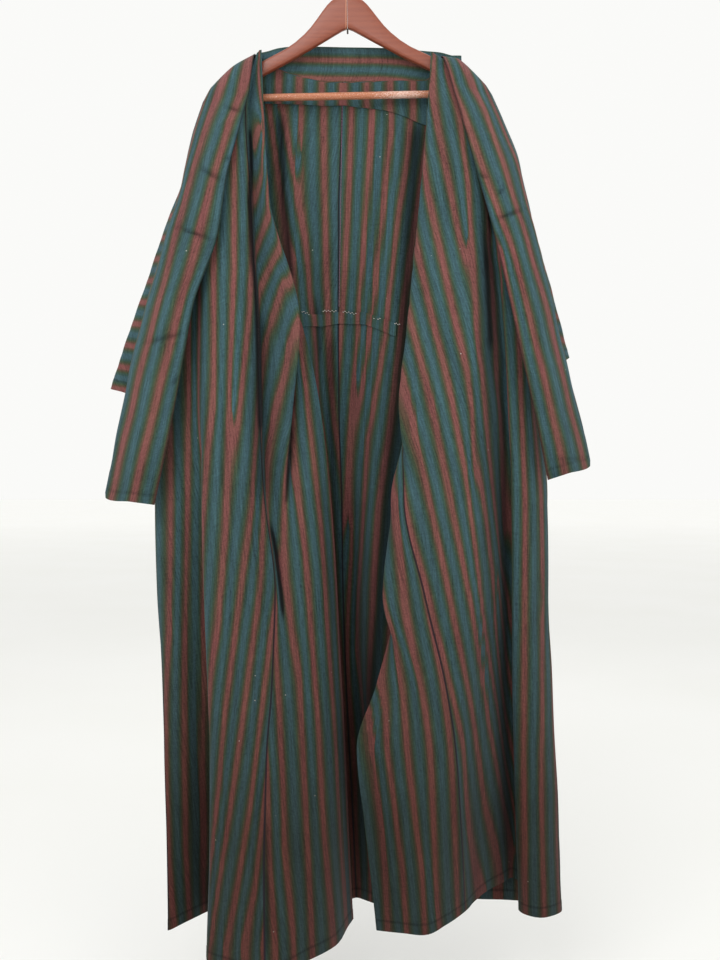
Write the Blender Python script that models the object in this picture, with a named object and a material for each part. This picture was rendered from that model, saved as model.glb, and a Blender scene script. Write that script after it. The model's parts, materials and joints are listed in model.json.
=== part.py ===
# A long unlined haori with the collar turned in, hung open on a wooden suit hanger.
# The origin is the point where a rod holds the hook. X is to the viewer's right, Y is away, Z is up.
# The tables are in millimetres, and the model is in metres.
import math

import bmesh
import bpy
import numpy as np

MM = 0.001
CLOTH = 0.0018
SEAM = 0.0008
NECK_SEAM = 0.0009
LAYER_GAP = 0.0005
RIDGE = 0.0008
BODY_ROWS = (0, 1.5, 5, 11, 20, 34, 52, 75, 105, 140, 185, 235, 285, 330, 360, 385, 411, 445, 500,
             560, 620, 690, 760, 830, 900, 970, 1040, 1110, 1180, 1250, 1310)
SLEEVE_ROLL = (0, 0.06, 0.22, 0.55)
SLEEVE_STEPS = (3, 3, 2, 2, 3, 3)

# The heights at which the fold tables give x and y.
HEIGHTS = (-160, -250, -380, -570, -700, -830, -970, -1100, -1190, -1300, -1460)

LEFT_FOLDS = (
    # fold, top, hem, roll, steps to the next, then x and y at each of HEIGHTS
    ("centre_seam", -187, -1470, 0, 2,
        (-5, -7, -12, -13, -12, -8, -6, -2, 2, 8, 15),
        (18, 24, 36, 56, 64, 68, 70, 70, 69, 67, 62)),
    ("back_dip", -187, -1470, 0, 3,
        (-28, -30, -33, -37, -32, -27, -21, -16, -12, -6, 3),
        (18, 26, 38, 52, 58, 60, 58, 56, 55, 54, 52)),
    ("back_crest", -178, -1468, 0, 3,
        (-79, -85, -92, -74, -65, -54, -45, -39, -34, -27, -21),
        (14, 18, 16, 6, 6, 10, 14, 18, 21, 25, 32)),
    ("back_middle", -160, -1466, 0, 3,
        (-136, -143, -150, -150, -151, -151, -145, -139, -136, -133, -133),
        (12, 20, 26, 30, 32, 35, 39, 43, 44, 45, 46)),
    ("back_outer", -181, -1464, 18, 4,
        (-168, -192, -215, -228, -228, -226, -223, -220, -219, -217, -216),
        (10, 17, 23, 28, 30, 33, 36, 37, 37, 35, 30)),
    ("side_seam", -209, -1472, 8, 2,
        (-192, -214, -246, -272, -283, -291, -286, -277, -273, -268, -263),
        (0, 1, 2, 2, 0, -4, -12, -20, -27, -36, -46)),
    ("strip", -213, -1464, 16, 2,
        (-182, -204, -230, -248, -256, -252, -251, -248, -245, -240, -236),
        (-7, -11, -16, -22, -26, -30, -34, -36, -36, -35, -32)),
    ("strip_dip", -198, -1464, 18, 2,
        (-185, -197, -216, -226, -222, -208, -202, -195, -192, -192, -201),
        (-9, -18, -26, -34, -36, -32, -24, -15, -9, -3, 6)),
    ("outer_fold", -190, -1466, 20, 2,
        (-180, -188, -203, -208, -207, -208, -203, -195, -190, -188, -187),
        (-9, -26, -40, -54, -62, -70, -86, -104, -116, -132, -155)),
    ("face_outer", -176, -1468, 22, 2,
        (-160, -175, -177, -178, -177, -172, -167, -161, -156, -152, -152),
        (-11, -34, -46, -60, -70, -82, -98, -117, -131, -149, -175)),
    ("face_inner", -166, -1468, 22, 2,
        (-146, -160, -157, -153, -149, -144, -139, -133, -130, -128, -125),
        (-12, -36, -44, -54, -64, -78, -98, -120, -136, -155, -186)),
    ("collar_seam", -160, -1468, 22, 1,
        (-140, -151, -142, -133, -128, -120, -102, -104, -109, -110, -106),
        (-13, -33, -32, -36, -42, -54, -82, -112, -132, -155, -190)),
    ("crease", -157, -1468, 0, 3,
        (-134, -147, -138, -129, -124, -116, -98, -99, -105, -105, -101),
        (-16, -24, -19, -19, -25, -40, -78, -109, -130, -154, -189)),
    ("collar_fold", -153, -1466, 0, 3,
        (-128, -123, -115, -68, -79, -90, -87, -85, -87, -87, -82),
        (-17, -36, -44, -50, -46, -52, -78, -104, -124, -149, -186)),
    ("collar_crease", -168, -1462, 0, 2,
        (-137, -142, -130, -87, -93, -74, -62, -62, -61, -57, -50),
        (-7.2, -14, -10, -26, -20, -42, -72, -94, -114, -137, -158)),
    ("collar_outer", -186, -1461, 0, 2,
        (-156, -160, -146, -83, -60, -47, -34, -31, -27, -23, -15),
        (-8.8, -12.5, -3, -13, -18, -34, -60, -78, -92, -112, -118)),
    ("collar_edge", -196, -1460, 0, 0,
        (-170, -174, -160, -66, -38, -24, -13, -6, -2, 3, 11),
        (-8.8, -11.8, 2, -6, -6, -8, -20, -33, -41, -50, -35)),
)
RIGHT_FOLDS = (
    # fold, top, hem, roll, steps to the next, then x and y at each of HEIGHTS
    ("centre_seam", -187, -1470, 0, 2,
        (-5, -7, -12, -13, -12, -8, -6, -2, 2, 8, 15),
        (18, 24, 36, 56, 64, 68, 70, 70, 69, 67, 62)),
    ("back_dip", -187, -1467, 0, 3,
        (9, 9, 7, 9, 10, 11, 13, 17, 21, 25, 31),
        (18, 25, 37, 50, 57, 62, 62, 59, 56, 52, 46)),
    ("back_crest", -187, -1466, 0, 2,
        (83, 86, 83, 77, 69, 54, 44, 43, 45, 49, 54),
        (13, 16, 16, 6, 4, 2, 6, 11, 15, 20, 28)),
    ("back_shoulder", -186, -1465, 0, 2,
        (122, 126, 124, 118, 110, 99, 94, 95, 96, 98, 101),
        (12.5, 18, 21, 18, 18, 18, 22, 26, 29, 32, 37)),
    ("back_middle", -166, -1465, 0, 3,
        (146, 158, 165, 159, 150, 143, 144, 147, 147, 147, 148),
        (11, 20, 26, 30, 31, 33, 37, 41, 42, 44, 46)),
    ("back_outer", -189, -1463, 18, 4,
        (184, 220, 239, 255, 262, 265, 269, 273, 274, 276, 278),
        (10, 17, 23, 28, 30, 33, 36, 38, 38, 38, 34)),
    ("side_seam", -203, -1461, 8, 2,
        (196, 222, 256, 284, 296, 308, 308, 315, 318, 324, 329),
        (0, 1, 2, 3, 3, 2, 0, -1, -2, -2, -2)),
    ("strip", -196, -1460, 16, 2,
        (191, 211, 240, 262, 270, 274, 275, 278, 280, 286, 291),
        (-8, -12, -20, -30, -36, -42, -44, -43, -41, -37, -30)),
    ("strip_edge", -190, -1460, 18, 2,
        (187, 203, 226, 237, 243, 247, 248, 249, 252, 256, 264),
        (-9, -16, -26, -38, -42, -44, -42, -39, -34, -25, -4)),
    ("strip_fold", -184, -1445, 20, 2,
        (182, 196, 216, 239, 253, 266, 268, 270, 273, 277, 282),
        (-10, -22, -30, -27, -18, -12, -8, -3, 2, 9, 18)),
    ("valley", -178, -1424, 20, 3,
        (179, 190, 207, 234, 242, 246, 248, 250, 253, 258, 263),
        (-9, -26, -33, -24, -12, -6, -1, 5, 11, 19, 28)),
    ("valley_side", -170, -1423, 22, 2,
        (170, 194, 209, 215, 218, 220, 222, 221, 224, 231, 242),
        (-10, -33, -42, -44, -44, -46, -46, -42, -30, -12, 10)),
    ("ridge", -166, -1428, 20, 3,
        (160, 175, 188, 189, 188, 189, 188, 182, 186, 195, 209),
        (-12, -38, -52, -66, -73, -80, -87, -88, -74, -50, -12)),
    ("face", -161.5, -1434, 10, 3,
        (146, 150, 151, 144, 141, 145, 157, 164, 169, 176, 192),
        (-17, -38, -52, -66, -76, -87, -98, -102, -92, -74, -30)),
    ("front_fold", -157.5, -1437, 0, 3,
        (129, 123, 111, 92, 79, 102, 130, 152, 163, 170, 184),
        (-19.5, -32, -42, -56, -66, -84, -99, -104, -98, -85, -44)),
    ("collar_seam", -162.5, -1439, 0, 2,
        (138, 138, 130, 107, 87, 85, 114, 144, 158, 167, 177),
        (-6.5, -22, -24, -37, -50, -80, -98, -106, -102, -92, -52)),
    ("collar_inner", -206, -1447, 0, 2,
        (158, 158, 158, 135, 110, 67, 83, 115, 127, 136, 148),
        (-17.5, -18, -17, -25, -32, -72, -94, -105, -105, -101, -78)),
    ("collar_crease", -206, -1453, 0, 2,
        (172, 175, 180, 160, 130, 76, 55, 93, 100, 107, 119),
        (-15.5, -15, -10, -16, -20, -46, -86, -102, -104, -104, -100)),
    ("collar_outer", -206, -1455, 0, 2,
        (163, 162, 160, 140, 112, 92, 66, 71, 60, 66, 82),
        (-10.8, -10, -2, -4, -8, -30, -62, -98, -100, -98, -93)),
    ("collar_edge", -206, -1456, 0, 0,
        (150, 145, 138, 115, 92, 78, 76, 45, 17, 28, 46),
        (-10.8, -10, -1, 0, -4, -22, -46, -82, -84, -82, -80)),
)
LEFT_SLEEVE = (
    # a row per section: x, y, z of the front's inner edge, middle and outer edge, the turn behind it,
    # then the back's outer edge, middle and inner edge
    ((-138, -0.6, -154), (-171, -0.6, -173), (-204, -0.6, -203), (-206, 0.5, -203),
     (-205, 1.6, -203), (-172, 1.0, -172), (-138, 1.0, -153)),
    ((-143, -37, -220), (-179, -36, -232), (-214, -14, -232), (-219, -1, -227),
     (-219, 12, -222), (-187, 22, -206), (-155, 26, -194)),
    ((-156, -50, -279), (-189, -50, -286), (-226, -28, -283), (-232, -8, -273),
     (-233, 14, -263), (-200, 28, -258), (-169, 31, -249)),
    ((-173, -58, -348), (-206, -62, -364), (-245, -36, -368), (-250, -13, -358),
     (-252, 12, -349), (-221, 31, -332), (-189, 36, -315)),
    ((-189, -66, -454), (-224, -70, -447), (-263, -42, -429), (-265, -16, -418),
     (-275, 6, -408), (-243, 31, -390), (-208, 38, -377)),
    ((-220, -68, -541), (-252, -74, -541), (-291, -44, -532), (-289, -16, -500),
     (-298, 4, -479), (-263, 30, -464), (-224, 39, -452)),
    ((-234, -68, -614), (-270, -73, -615), (-313, -42, -611), (-305, -15, -566),
     (-319, 2, -540), (-280, 29, -529), (-238, 40, -524)),
    ((-257, -62, -731), (-293, -66, -728), (-337, -36, -722), (-319, -13, -628),
     (-340, 0.0, -603), (-297, 28, -601), (-251, 41, -603)),
    ((-283, -48, -841), (-318, -54, -836), (-360, -28, -831), (-329, -11, -675),
     (-359, -2, -665), (-312, 27, -673), (-262, 42, -683)),
)
RIGHT_SLEEVE = (
    # a row per section: x, y, z of the front's inner edge, middle and outer edge, the turn behind it,
    # then the back's outer edge, middle and inner edge
    ((145, -0.6, -158), (170, -0.6, -162), (210, -0.6, -198), (211.5, 0.5, -197.5),
     (210, 1.6, -197), (190, 1.0, -179), (178, 1.0, -168)),
    ((157, -37, -208), (183, -36, -217), (219, -14, -220), (223, -1, -215),
     (222, 12, -210), (203, 22, -201), (188, 26, -190)),
    ((169, -50, -257), (199, -50, -261), (232, -26, -260), (238, -6, -252),
     (238, 14, -245), (209, 28, -232), (174, 31, -229)),
    ((190, -60, -341), (221, -64, -337), (254, -36, -323), (261, -12, -315),
     (262, 12, -307), (229, 31, -299), (194, 36, -295)),
    ((213, -68, -427), (240, -72, -415), (271, -42, -395), (273, -15, -384),
     (278, 8, -373), (245, 31, -367), (210, 38, -365)),
    ((236, -72, -527), (264, -76, -518), (298, -44, -501), (293, -14, -473),
     (293, 5, -439), (260, 31, -435), (226, 39, -435)),
    ((257, -72, -622), (286, -76, -619), (322, -42, -611), (307, -14, -531),
     (310, 3, -499), (274, 30, -501), (238, 40, -505)),
    ((280, -66, -722), (309, -70, -714), (345, -38, -703), (320, -14, -584),
     (326, 1.0, -559), (288, 29, -562), (249, 41, -568)),
    ((298, -56, -804), (328, -62, -794), (366, -32, -783), (331, -14, -625),
     (341, -1.0, -617), (302, 28, -625), (261, 42, -634)),
)

# The neck band's upper edge: x, y, z.
NECK_EDGE = ((-136, 9, -147), (-122, 12, -143), (-106, 17, -136), (-80, 21, -131.5), (-40, 24, -130.5),
             (0, 25, -131), (40, 24, -132), (75, 20, -135), (102, 16, -139), (122, 13, -142),
             (146, 10, -145.5), (162, 8, -151))
# Its left end crosses the hanger's arm, and its right end tapers off behind the shoulder: x, y, lower edge,
# upper edge.
NECK_LEFT_END = ((-131.5, -11.5, -157.5, -151), (-131, -4, -164.6, -150), (-132, 5, -165, -148.5))
NECK_RIGHT_END = ((170, 5, -168.6, -157),)

# The lower edge of the shoulder backing and the two edges of the waist tuck: x, then z.
BACKING_EDGE = ((-150, -221), (-90, -223), (0, -223), (55, -231), (75, -237), (110, -252), (150, -262))
TUCK_TOP = ((-110, -560), (-70, -549), (-13, -538), (30, -541), (75, -563), (110, -574))
TUCK_FOOT = ((-110, -578), (-70, -568), (-13, -556), (30, -560), (75, -583), (110, -594))
# Where their rows lie, as shares of the way from the upper edge to the lower.
BACKING_ROWS = (0, 0.03, 0.08, 0.17, 0.35, 0.65, 1)
TUCK_ROWS = (0, 0.33, 0.67, 1)
BACKING_THICKNESS = 0.0012
TUCK_THICKNESS = 0.0016

# The hanger's arm: x, top and bottom.
ARM_PROFILE = ((0.15, -64.7, -113.7), (8, -65.2, -116.5), (15, -66.8, -120.5), (23, -70.5, -125), (30, -77, -129),
               (38, -87, -133.5), (46, -98, -138), (56, -111, -143.5), (66, -121.5, -149), (80, -133.5, -157),
               (95, -143.5, -165), (112, -152, -173.5), (128.6, -160.5, -182), (144, -170, -190), (160, -179, -198),
               (173.7, -188, -206), (174.2, -188.4, -227), (184, -196, -228), (191, -203, -225), (195, -209, -217))
ARM_HALF_DEPTH = 0.0065
ARM_EDGE = 0.003
HANGER_TILT = math.radians(1.2)
BAR_RADIUS = 0.0054
BAR_HALF_LENGTH = 0.1734
BAR_HEIGHT = -0.2162
HOOK_WIRE = 0.0017
HOOK_INNER = 0.020
THREAD_RADIUS = 0.0013
THREAD_LENGTH = 0.007


def material(name, colour, roughness, metallic=0.0):
    made = bpy.data.materials.new(name)
    made.use_nodes = True
    shader = made.node_tree.nodes["Principled BSDF"]
    shader.inputs["Base Color"].default_value = (*colour, 1.0)
    shader.inputs["Roughness"].default_value = roughness
    shader.inputs["Metallic"].default_value = metallic
    made.diffuse_color = (*colour, 1.0)
    return made


def add_object(name, points, faces, finish):
    mesh = bpy.data.meshes.new(name)
    mesh.from_pydata([tuple(p) for p in points], [], [tuple(int(i) for i in f) for f in faces])
    shape = bmesh.new()
    shape.from_mesh(mesh)
    bmesh.ops.recalc_face_normals(shape, faces=shape.faces)
    shape.to_mesh(mesh)
    shape.free()
    mesh.materials.append(finish)
    made = bpy.data.objects.new(name, mesh)
    bpy.context.scene.collection.objects.link(made)
    return made


# A cubic through a table's values that keeps level at its peaks, so that no fold swings past its rows.
def along(stations, values, at):
    order = np.argsort(stations)
    s, v = np.asarray(stations, float)[order], np.asarray(values, float)[order]
    step, rise = np.diff(s), np.diff(v) / np.diff(s)
    slope = np.empty(len(s))
    slope[0], slope[-1] = rise[0], rise[-1]
    same = rise[:-1] * rise[1:] > 0
    low, high = 2 * step[1:] + step[:-1], step[1:] + 2 * step[:-1]
    with np.errstate(divide="ignore", invalid="ignore"):
        mean = (low + high) / (low / rise[:-1] + high / rise[1:])
    slope[1:-1] = np.where(same, mean, 0)
    at = np.clip(at, s[0], s[-1])
    i = np.clip(np.searchsorted(s, at) - 1, 0, len(s) - 2)
    t = (at - s[i]) / step[i]
    return (
        (1 + 2 * t) * (1 - t) ** 2 * v[i]
        + t * (1 - t) ** 2 * step[i] * slope[i]
        + t * t * (3 - 2 * t) * v[i + 1]
        - t * t * (1 - t) * step[i] * slope[i + 1]
    )


# The height of each row on each fold: near the top the rows keep their distance from it, and lower down
# they share out what is left as far as the hem.
def row_heights(folds):
    tops = np.array([fold[1] for fold in folds], float)
    hems = np.array([fold[2] for fold in folds], float)
    down = np.asarray(BODY_ROWS, float)[:, None]
    even = tops + (hems - tops) * down / down[-1]
    blend = np.clip((down - 20) / 120, 0, 1)
    return ((tops - down) * (1 - blend) + even * blend) * MM


# The fold lines at the heights z, an array with a column for each fold. Near its top a fold rolls back
# over the hanger's arm on a quarter circle.
def fold_lines(folds, z):
    points = np.empty(z.shape + (3,))
    for j, (name, top, hem, roll, steps, xs, ys) in enumerate(folds):
        x, y = along(HEIGHTS, xs, z[:, j] / MM), along(HEIGHTS, ys, z[:, j] / MM)
        if roll:
            share = np.clip((top - z[:, j] / MM) / roll, 0, 1)
            ridge = math.copysign(RIDGE / MM, y.mean()) if name != "side_seam" else 0
            y = ridge + (y - ridge) * np.sqrt(1 - (1 - share) ** 2)
        points[:, j] = np.stack([x * MM, y * MM, z[:, j]], axis=1)
    return points


# A rounded line through each row's points, with its own number of steps in each span. At each point it
# runs along the mean of the two directions, more slowly the sharper the turn.
def across(points, steps):
    leg = np.diff(points, axis=1)
    length = np.maximum(np.linalg.norm(leg, axis=2, keepdims=True), 1e-9)
    way = leg / length
    turn = np.linalg.norm(way[:, :-1] + way[:, 1:], axis=2, keepdims=True) / 2
    even = length[:, 1:] / (length[:, 1:] + length[:, :-1])
    part = even * turn + 0.5 * (1 - turn)
    mean = way[:, :-1] * part + way[:, 1:] * (1 - part)
    mean /= np.maximum(np.linalg.norm(mean, axis=2, keepdims=True), 1e-9)
    tangent = np.concatenate([way[:, :1], mean * (0.35 + 0.65 * turn), way[:, -1:]], axis=1)
    near = np.minimum(length[:, :-1], length[:, 1:])
    reach_in = np.concatenate([length[:, :1], near], axis=1)
    reach_out = np.concatenate([near, length[:, -1:]], axis=1)
    spans = []
    for k, count in enumerate(steps):
        t = (np.arange(count) / count)[None, :, None]
        a, b = points[:, k, None], points[:, k + 1, None]
        ta, tb = (tangent[:, k] * reach_in[:, k])[:, None], (tangent[:, k + 1] * reach_out[:, k])[:, None]
        spans.append(
            (1 + 2 * t) * (1 - t) ** 2 * a
            + t * (1 - t) ** 2 * ta
            + t * t * (3 - 2 * t) * b
            - t * t * (1 - t) * tb
        )
    return np.concatenate(spans + [points[:, -1:]], axis=1)


# The direction along one axis of a grid at each point: the mean of the unit steps before and after it.
def ways_of(grid, axis):
    step = np.diff(grid, axis=axis)
    step /= np.maximum(np.linalg.norm(step, axis=2, keepdims=True), 1e-12)
    first, last = np.take(step, [0], axis=axis), np.take(step, [-1], axis=axis)
    return np.concatenate([first, step], axis=axis) + np.concatenate([step, last], axis=axis)


def normals_of(grid):
    normal = np.cross(ways_of(grid, 1), ways_of(grid, 0))
    return normal / np.maximum(np.linalg.norm(normal, axis=2, keepdims=True), 1e-12)


# Moves the first and last columns of a piece inwards by half a seam, where they meet a neighbour.
def trimmed(grid, first, last):
    grid = grid.copy()
    for wanted, edge, inner in ((first, 0, 1), (last, -1, -2)):
        if wanted:
            way = grid[:, inner] - grid[:, edge]
            grid[:, edge] += way / np.linalg.norm(way, axis=1, keepdims=True) * SEAM / 2
    return grid


# A closed wall of even thickness about a grid of points. Both faces split each cell along the same diagonal.
def wall(name, grid, normal, finish, thickness=CLOTH):
    rows, columns = grid.shape[:2]
    outer = (grid + normal * thickness / 2).reshape(-1, 3)
    inner = (grid - normal * thickness / 2).reshape(-1, 3)
    n = rows * columns
    i = np.arange(n).reshape(rows, columns)
    a, b, c, d = i[:-1, :-1].ravel(), i[:-1, 1:].ravel(), i[1:, 1:].ravel(), i[1:, :-1].ravel()
    flat = grid.reshape(-1, 3)
    turned = np.linalg.norm(flat[a] - flat[c], axis=1) > np.linalg.norm(flat[b] - flat[d], axis=1)
    a, b, c, d = np.where(turned, (b, c, d, a), (a, b, c, d))
    faces = np.concatenate([np.stack([a, b, c], axis=1), np.stack([a, c, d], axis=1)])
    rim = np.concatenate([i[0, :-1], i[:-1, -1], i[-1, :0:-1], i[:0:-1, 0]])
    following = np.roll(rim, -1)
    edge = np.stack([rim, rim + n, following + n, following], axis=1)[:, ::-1]
    faces = faces.tolist() + (faces[:, ::-1] + n).tolist() + edge.tolist()
    return add_object(name, np.concatenate([outer, inner]), faces, finish)


# The whole body as one sheet, from the left collar's edge round the back to the right collar's edge, and
# the column of each fold in it.
def body_sheet():
    folds = LEFT_FOLDS[:0:-1] + RIGHT_FOLDS
    steps = [fold[4] for fold in LEFT_FOLDS[-2::-1]] + [fold[4] for fold in RIGHT_FOLDS[:-1]]
    grid = across(fold_lines(folds, row_heights(folds)), steps)
    starts = np.concatenate([[0], np.cumsum(steps)])
    columns = {}
    for k, fold in enumerate(folds):
        side = "left" if k < len(LEFT_FOLDS) - 1 else "right"
        columns[side, fold[0]] = int(starts[k])
    columns["left", "centre_seam"] = columns["right", "centre_seam"]
    return grid, normals_of(grid), columns


def between(columns, side, first, last):
    a, b = sorted((columns[side, first], columns[side, last]))
    return slice(a, b + 1)


# The body's panels and collar on one side, cut from the sheet at the seams.
def build_side(side, grid, normal, columns, cloth):
    for piece, first, last in (("back", "centre_seam", "side_seam"), ("front", "side_seam", "collar_seam"),
                               ("collar", "collar_seam", "collar_edge")):
        part = between(columns, side, first, last)
        free = "collar" if piece == "collar" else ""
        cut = trimmed(grid[:, part], not (free and side == "left"), not (free and side == "right"))
        wall(f"{piece}_{side}", cut, normal[:, part], cloth)


# A layer lying on the inside of a back panel between two edges given as x and z, made from the panel's own
# points and moved off it.
def build_layer(name, sheet, side, end, top, foot, shares, thickness, cloth):
    grid, normal, columns = sheet
    part = between(columns, side, "centre_seam", end)
    panel, out = grid[:, part], normal[:, part]
    flip = np.where(out[:, :, 1:2] > 0, -1, 1)
    middle = (top[len(top) // 2][1] + foot[len(foot) // 2][1]) / 2 * MM
    place = np.array([np.interp(-middle, -line[:, 2], line[:, 0]) for line in panel.transpose(1, 0, 2)])
    high = np.interp(place, np.array(top)[:, 0] * MM, np.array(top)[:, 1] * MM)
    low = np.interp(place, np.array(foot)[:, 0] * MM, np.array(foot)[:, 1] * MM)
    high = np.minimum(high, panel[0, :, 2] - 0.0015)
    z = high + (low - high) * np.array(shares)[:, None]
    points, ways = np.empty(z.shape + (3,)), np.empty(z.shape + (3,))
    for j in range(len(place)):
        for axis in range(3):
            points[:, j, axis] = np.interp(-z[:, j], -panel[:, j, 2], panel[:, j, axis])
            ways[:, j, axis] = np.interp(-z[:, j], -panel[:, j, 2], (out * flip)[:, j, axis])
    ways /= np.linalg.norm(ways, axis=2, keepdims=True)
    moved = points + ways * (CLOTH / 2 + LAYER_GAP + thickness / 2)
    return wall(name, trimmed(moved, side == "right", side == "left"), ways, cloth, thickness)


# The neck band stands on the back's upper edge. Its left end turns over the hanger's arm.
def build_neck(sheet, cloth):
    grid, normal, columns = sheet
    foot = grid[0, columns["left", "back_middle"]: columns["right", "back_middle"] + 2] + (0, 0, NECK_SEAM)
    x, y, z = np.array(NECK_EDGE, float).T * MM
    edge = np.stack([foot[:, 0], along(x, y, foot[:, 0]), along(x, z, foot[:, 0])], axis=1)
    first, last = np.array(NECK_LEFT_END) * MM, np.array(NECK_RIGHT_END) * MM
    foot = np.concatenate([first[:, [0, 1, 2]], foot, last[:, [0, 1, 2]]])
    edge = np.concatenate([first[:, [0, 1, 3]], edge, last[:, [0, 1, 3]]])
    share = np.linspace(0, 1, 5)[:, None, None]
    band = foot + (edge - foot) * share
    return wall("collar_neck", band, normals_of(band), cloth)


# A sleeve hangs from a ridge, its table's first row, in a roll over the shoulder.
def build_sleeve(side, table, cloth):
    points = np.array(table, float) * MM
    lower = across(points[1:].transpose(1, 0, 2), [2] * (len(points) - 2)).transpose(1, 0, 2)
    ridge, next_row = points[0], points[1]
    rolls = []
    for share in SLEEVE_ROLL:
        row = ridge + (next_row - ridge) * share
        row[:, 1] = ridge[:, 1] + (next_row - ridge)[:, 1] * math.sqrt(1 - (1 - share) ** 2)
        rolls.append(row)
    grid = across(np.concatenate([rolls, lower]), SLEEVE_STEPS)
    return wall(f"sleeve_{side}", grid, normals_of(grid), cloth)


def level(points):
    x, y, z = np.asarray(points, float).T
    c, s = math.cos(HANGER_TILT), math.sin(HANGER_TILT)
    return np.stack([x * c - z * s, y, z * c + x * s], axis=1)


def build_arm(side, wood):
    sign = -1 if side == "left" else 1
    rows = np.array(ARM_PROFILE, float) * MM
    outline = np.concatenate([rows[:, [0, 1]], rows[::-1, [0, 2]]]) * (sign, 1)
    count = len(outline)
    points = [(x, y, z) for y in (-ARM_HALF_DEPTH, ARM_HALF_DEPTH) for x, z in outline]
    i = np.arange(count)
    sides = np.stack([i, np.roll(i, -1), np.roll(i, -1) + count, i + count], axis=1)
    faces = [tuple(f) for f in sides] + [tuple(i[::-1]), tuple(i + count)]
    arm = add_object(f"arm_{side}", level(points), faces, wood)
    bevel = arm.modifiers.new("rounded edges", "BEVEL")
    bevel.width = ARM_EDGE
    bevel.segments = 2
    bevel.limit_method = "ANGLE"
    bevel.angle_limit = math.radians(50)
    return arm


# A round rod along a line of points in the XZ plane, closed at both ends.
def build_rod(name, line, radius, sides, finish):
    line = np.asarray(line, float)
    way = np.gradient(line, axis=0)
    way /= np.linalg.norm(way, axis=1, keepdims=True)
    out = np.stack([-way[:, 1], way[:, 0]], axis=1)
    angle = np.arange(sides) / sides * 2 * np.pi
    points = np.stack(
        [
            line[:, None, 0] + radius * np.cos(angle) * out[:, None, 0],
            np.broadcast_to(radius * np.sin(angle), (len(line), sides)),
            line[:, None, 1] + radius * np.cos(angle) * out[:, None, 1],
        ],
        axis=2,
    ).reshape(-1, 3)
    i = np.arange(len(line) * sides).reshape(len(line), sides)
    a, b = i[:-1], i[1:]
    quads = np.stack([a, np.roll(a, -1, axis=1), np.roll(b, -1, axis=1), b], axis=2).reshape(-1, 4)
    faces = [tuple(f) for f in quads] + [tuple(i[0][::-1]), tuple(i[-1])]
    return add_object(name, level(points), faces, finish)


def hook_line():
    radius = HOOK_INNER + HOOK_WIRE
    turn = np.radians(np.linspace(-72, 205, 24))
    ring = np.stack([radius * np.cos(turn), radius * np.sin(turn) - HOOK_INNER], axis=1)
    foot = np.array([(0, -0.0644), (0, -0.058), (0, -0.052), (0.0007, -0.0475), (0.0030, -0.0435)])
    return np.concatenate([foot, ring])


for old in list(bpy.data.objects):
    bpy.data.objects.remove(old, do_unlink=True)

striped = material("striped_cloth", (0.075, 0.062, 0.055), 0.85)
wood = material("stained_wood", (0.30, 0.105, 0.055), 0.38)
bar_wood = material("bar_wood", (0.46, 0.20, 0.11), 0.45)
steel = material("hook_steel", (0.62, 0.62, 0.62), 0.28, 1.0)
dark_steel = material("thread_steel", (0.09, 0.08, 0.075), 0.5, 1.0)

sheet = body_sheet()
build_side("left", *sheet, striped)
build_side("right", *sheet, striped)
build_neck(sheet, striped)
build_sleeve("left", LEFT_SLEEVE, striped)
build_sleeve("right", RIGHT_SLEEVE, striped)
high = ((-200, 0), (0, 0), (200, 0))
for side in ("left", "right"):
    build_layer(f"shoulder_backing_{side}", sheet, side, "back_middle", high, BACKING_EDGE,
                BACKING_ROWS, BACKING_THICKNESS, striped)
    build_layer(f"waist_tuck_{side}", sheet, side, "back_crest", TUCK_TOP, TUCK_FOOT,
                TUCK_ROWS, TUCK_THICKNESS, striped)

build_arm("left", wood)
build_arm("right", wood)
ends = np.linspace(-BAR_HALF_LENGTH, BAR_HALF_LENGTH, 5)
build_rod("trouser_bar", np.stack([ends, np.full(5, BAR_HEIGHT)], axis=1), BAR_RADIUS, 16, bar_wood)
build_rod("hook", hook_line(), HOOK_WIRE, 10, steel)
tip = ARM_PROFILE[0][2] * MM - 0.0006
build_rod("hook_thread_end", ((0, tip - THREAD_LENGTH), (0, tip)), THREAD_RADIUS, 10, dark_steel)
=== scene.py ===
# The look of a long unlined haori hung open on a wooden suit hanger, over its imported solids.
# Tables are in millimetres, everything else in metres. X is to the viewer's right, Y away, Z up.
import math

import bpy
import numpy as np
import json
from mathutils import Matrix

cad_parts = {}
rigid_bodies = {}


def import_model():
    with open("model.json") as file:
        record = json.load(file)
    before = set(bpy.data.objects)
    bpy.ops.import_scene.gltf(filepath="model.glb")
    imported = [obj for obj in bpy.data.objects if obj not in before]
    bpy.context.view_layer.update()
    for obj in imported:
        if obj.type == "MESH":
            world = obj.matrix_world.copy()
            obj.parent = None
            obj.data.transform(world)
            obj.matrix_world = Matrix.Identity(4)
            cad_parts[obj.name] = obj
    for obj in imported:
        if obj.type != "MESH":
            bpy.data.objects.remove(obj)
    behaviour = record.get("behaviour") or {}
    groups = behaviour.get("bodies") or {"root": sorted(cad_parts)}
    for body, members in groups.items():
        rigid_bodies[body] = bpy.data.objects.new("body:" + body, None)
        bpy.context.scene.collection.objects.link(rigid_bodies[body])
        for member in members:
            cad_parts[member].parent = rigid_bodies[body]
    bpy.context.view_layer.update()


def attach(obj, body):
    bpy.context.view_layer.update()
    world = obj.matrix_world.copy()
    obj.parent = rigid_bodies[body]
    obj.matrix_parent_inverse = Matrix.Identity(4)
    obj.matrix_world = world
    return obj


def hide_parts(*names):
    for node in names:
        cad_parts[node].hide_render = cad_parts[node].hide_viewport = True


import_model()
scene = bpy.context.scene
mm = 0.001
print("frame loaded")

cameraSettings = {"place": (0.0214, -1.5, -0.804), "lens": 36.75}

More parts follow.
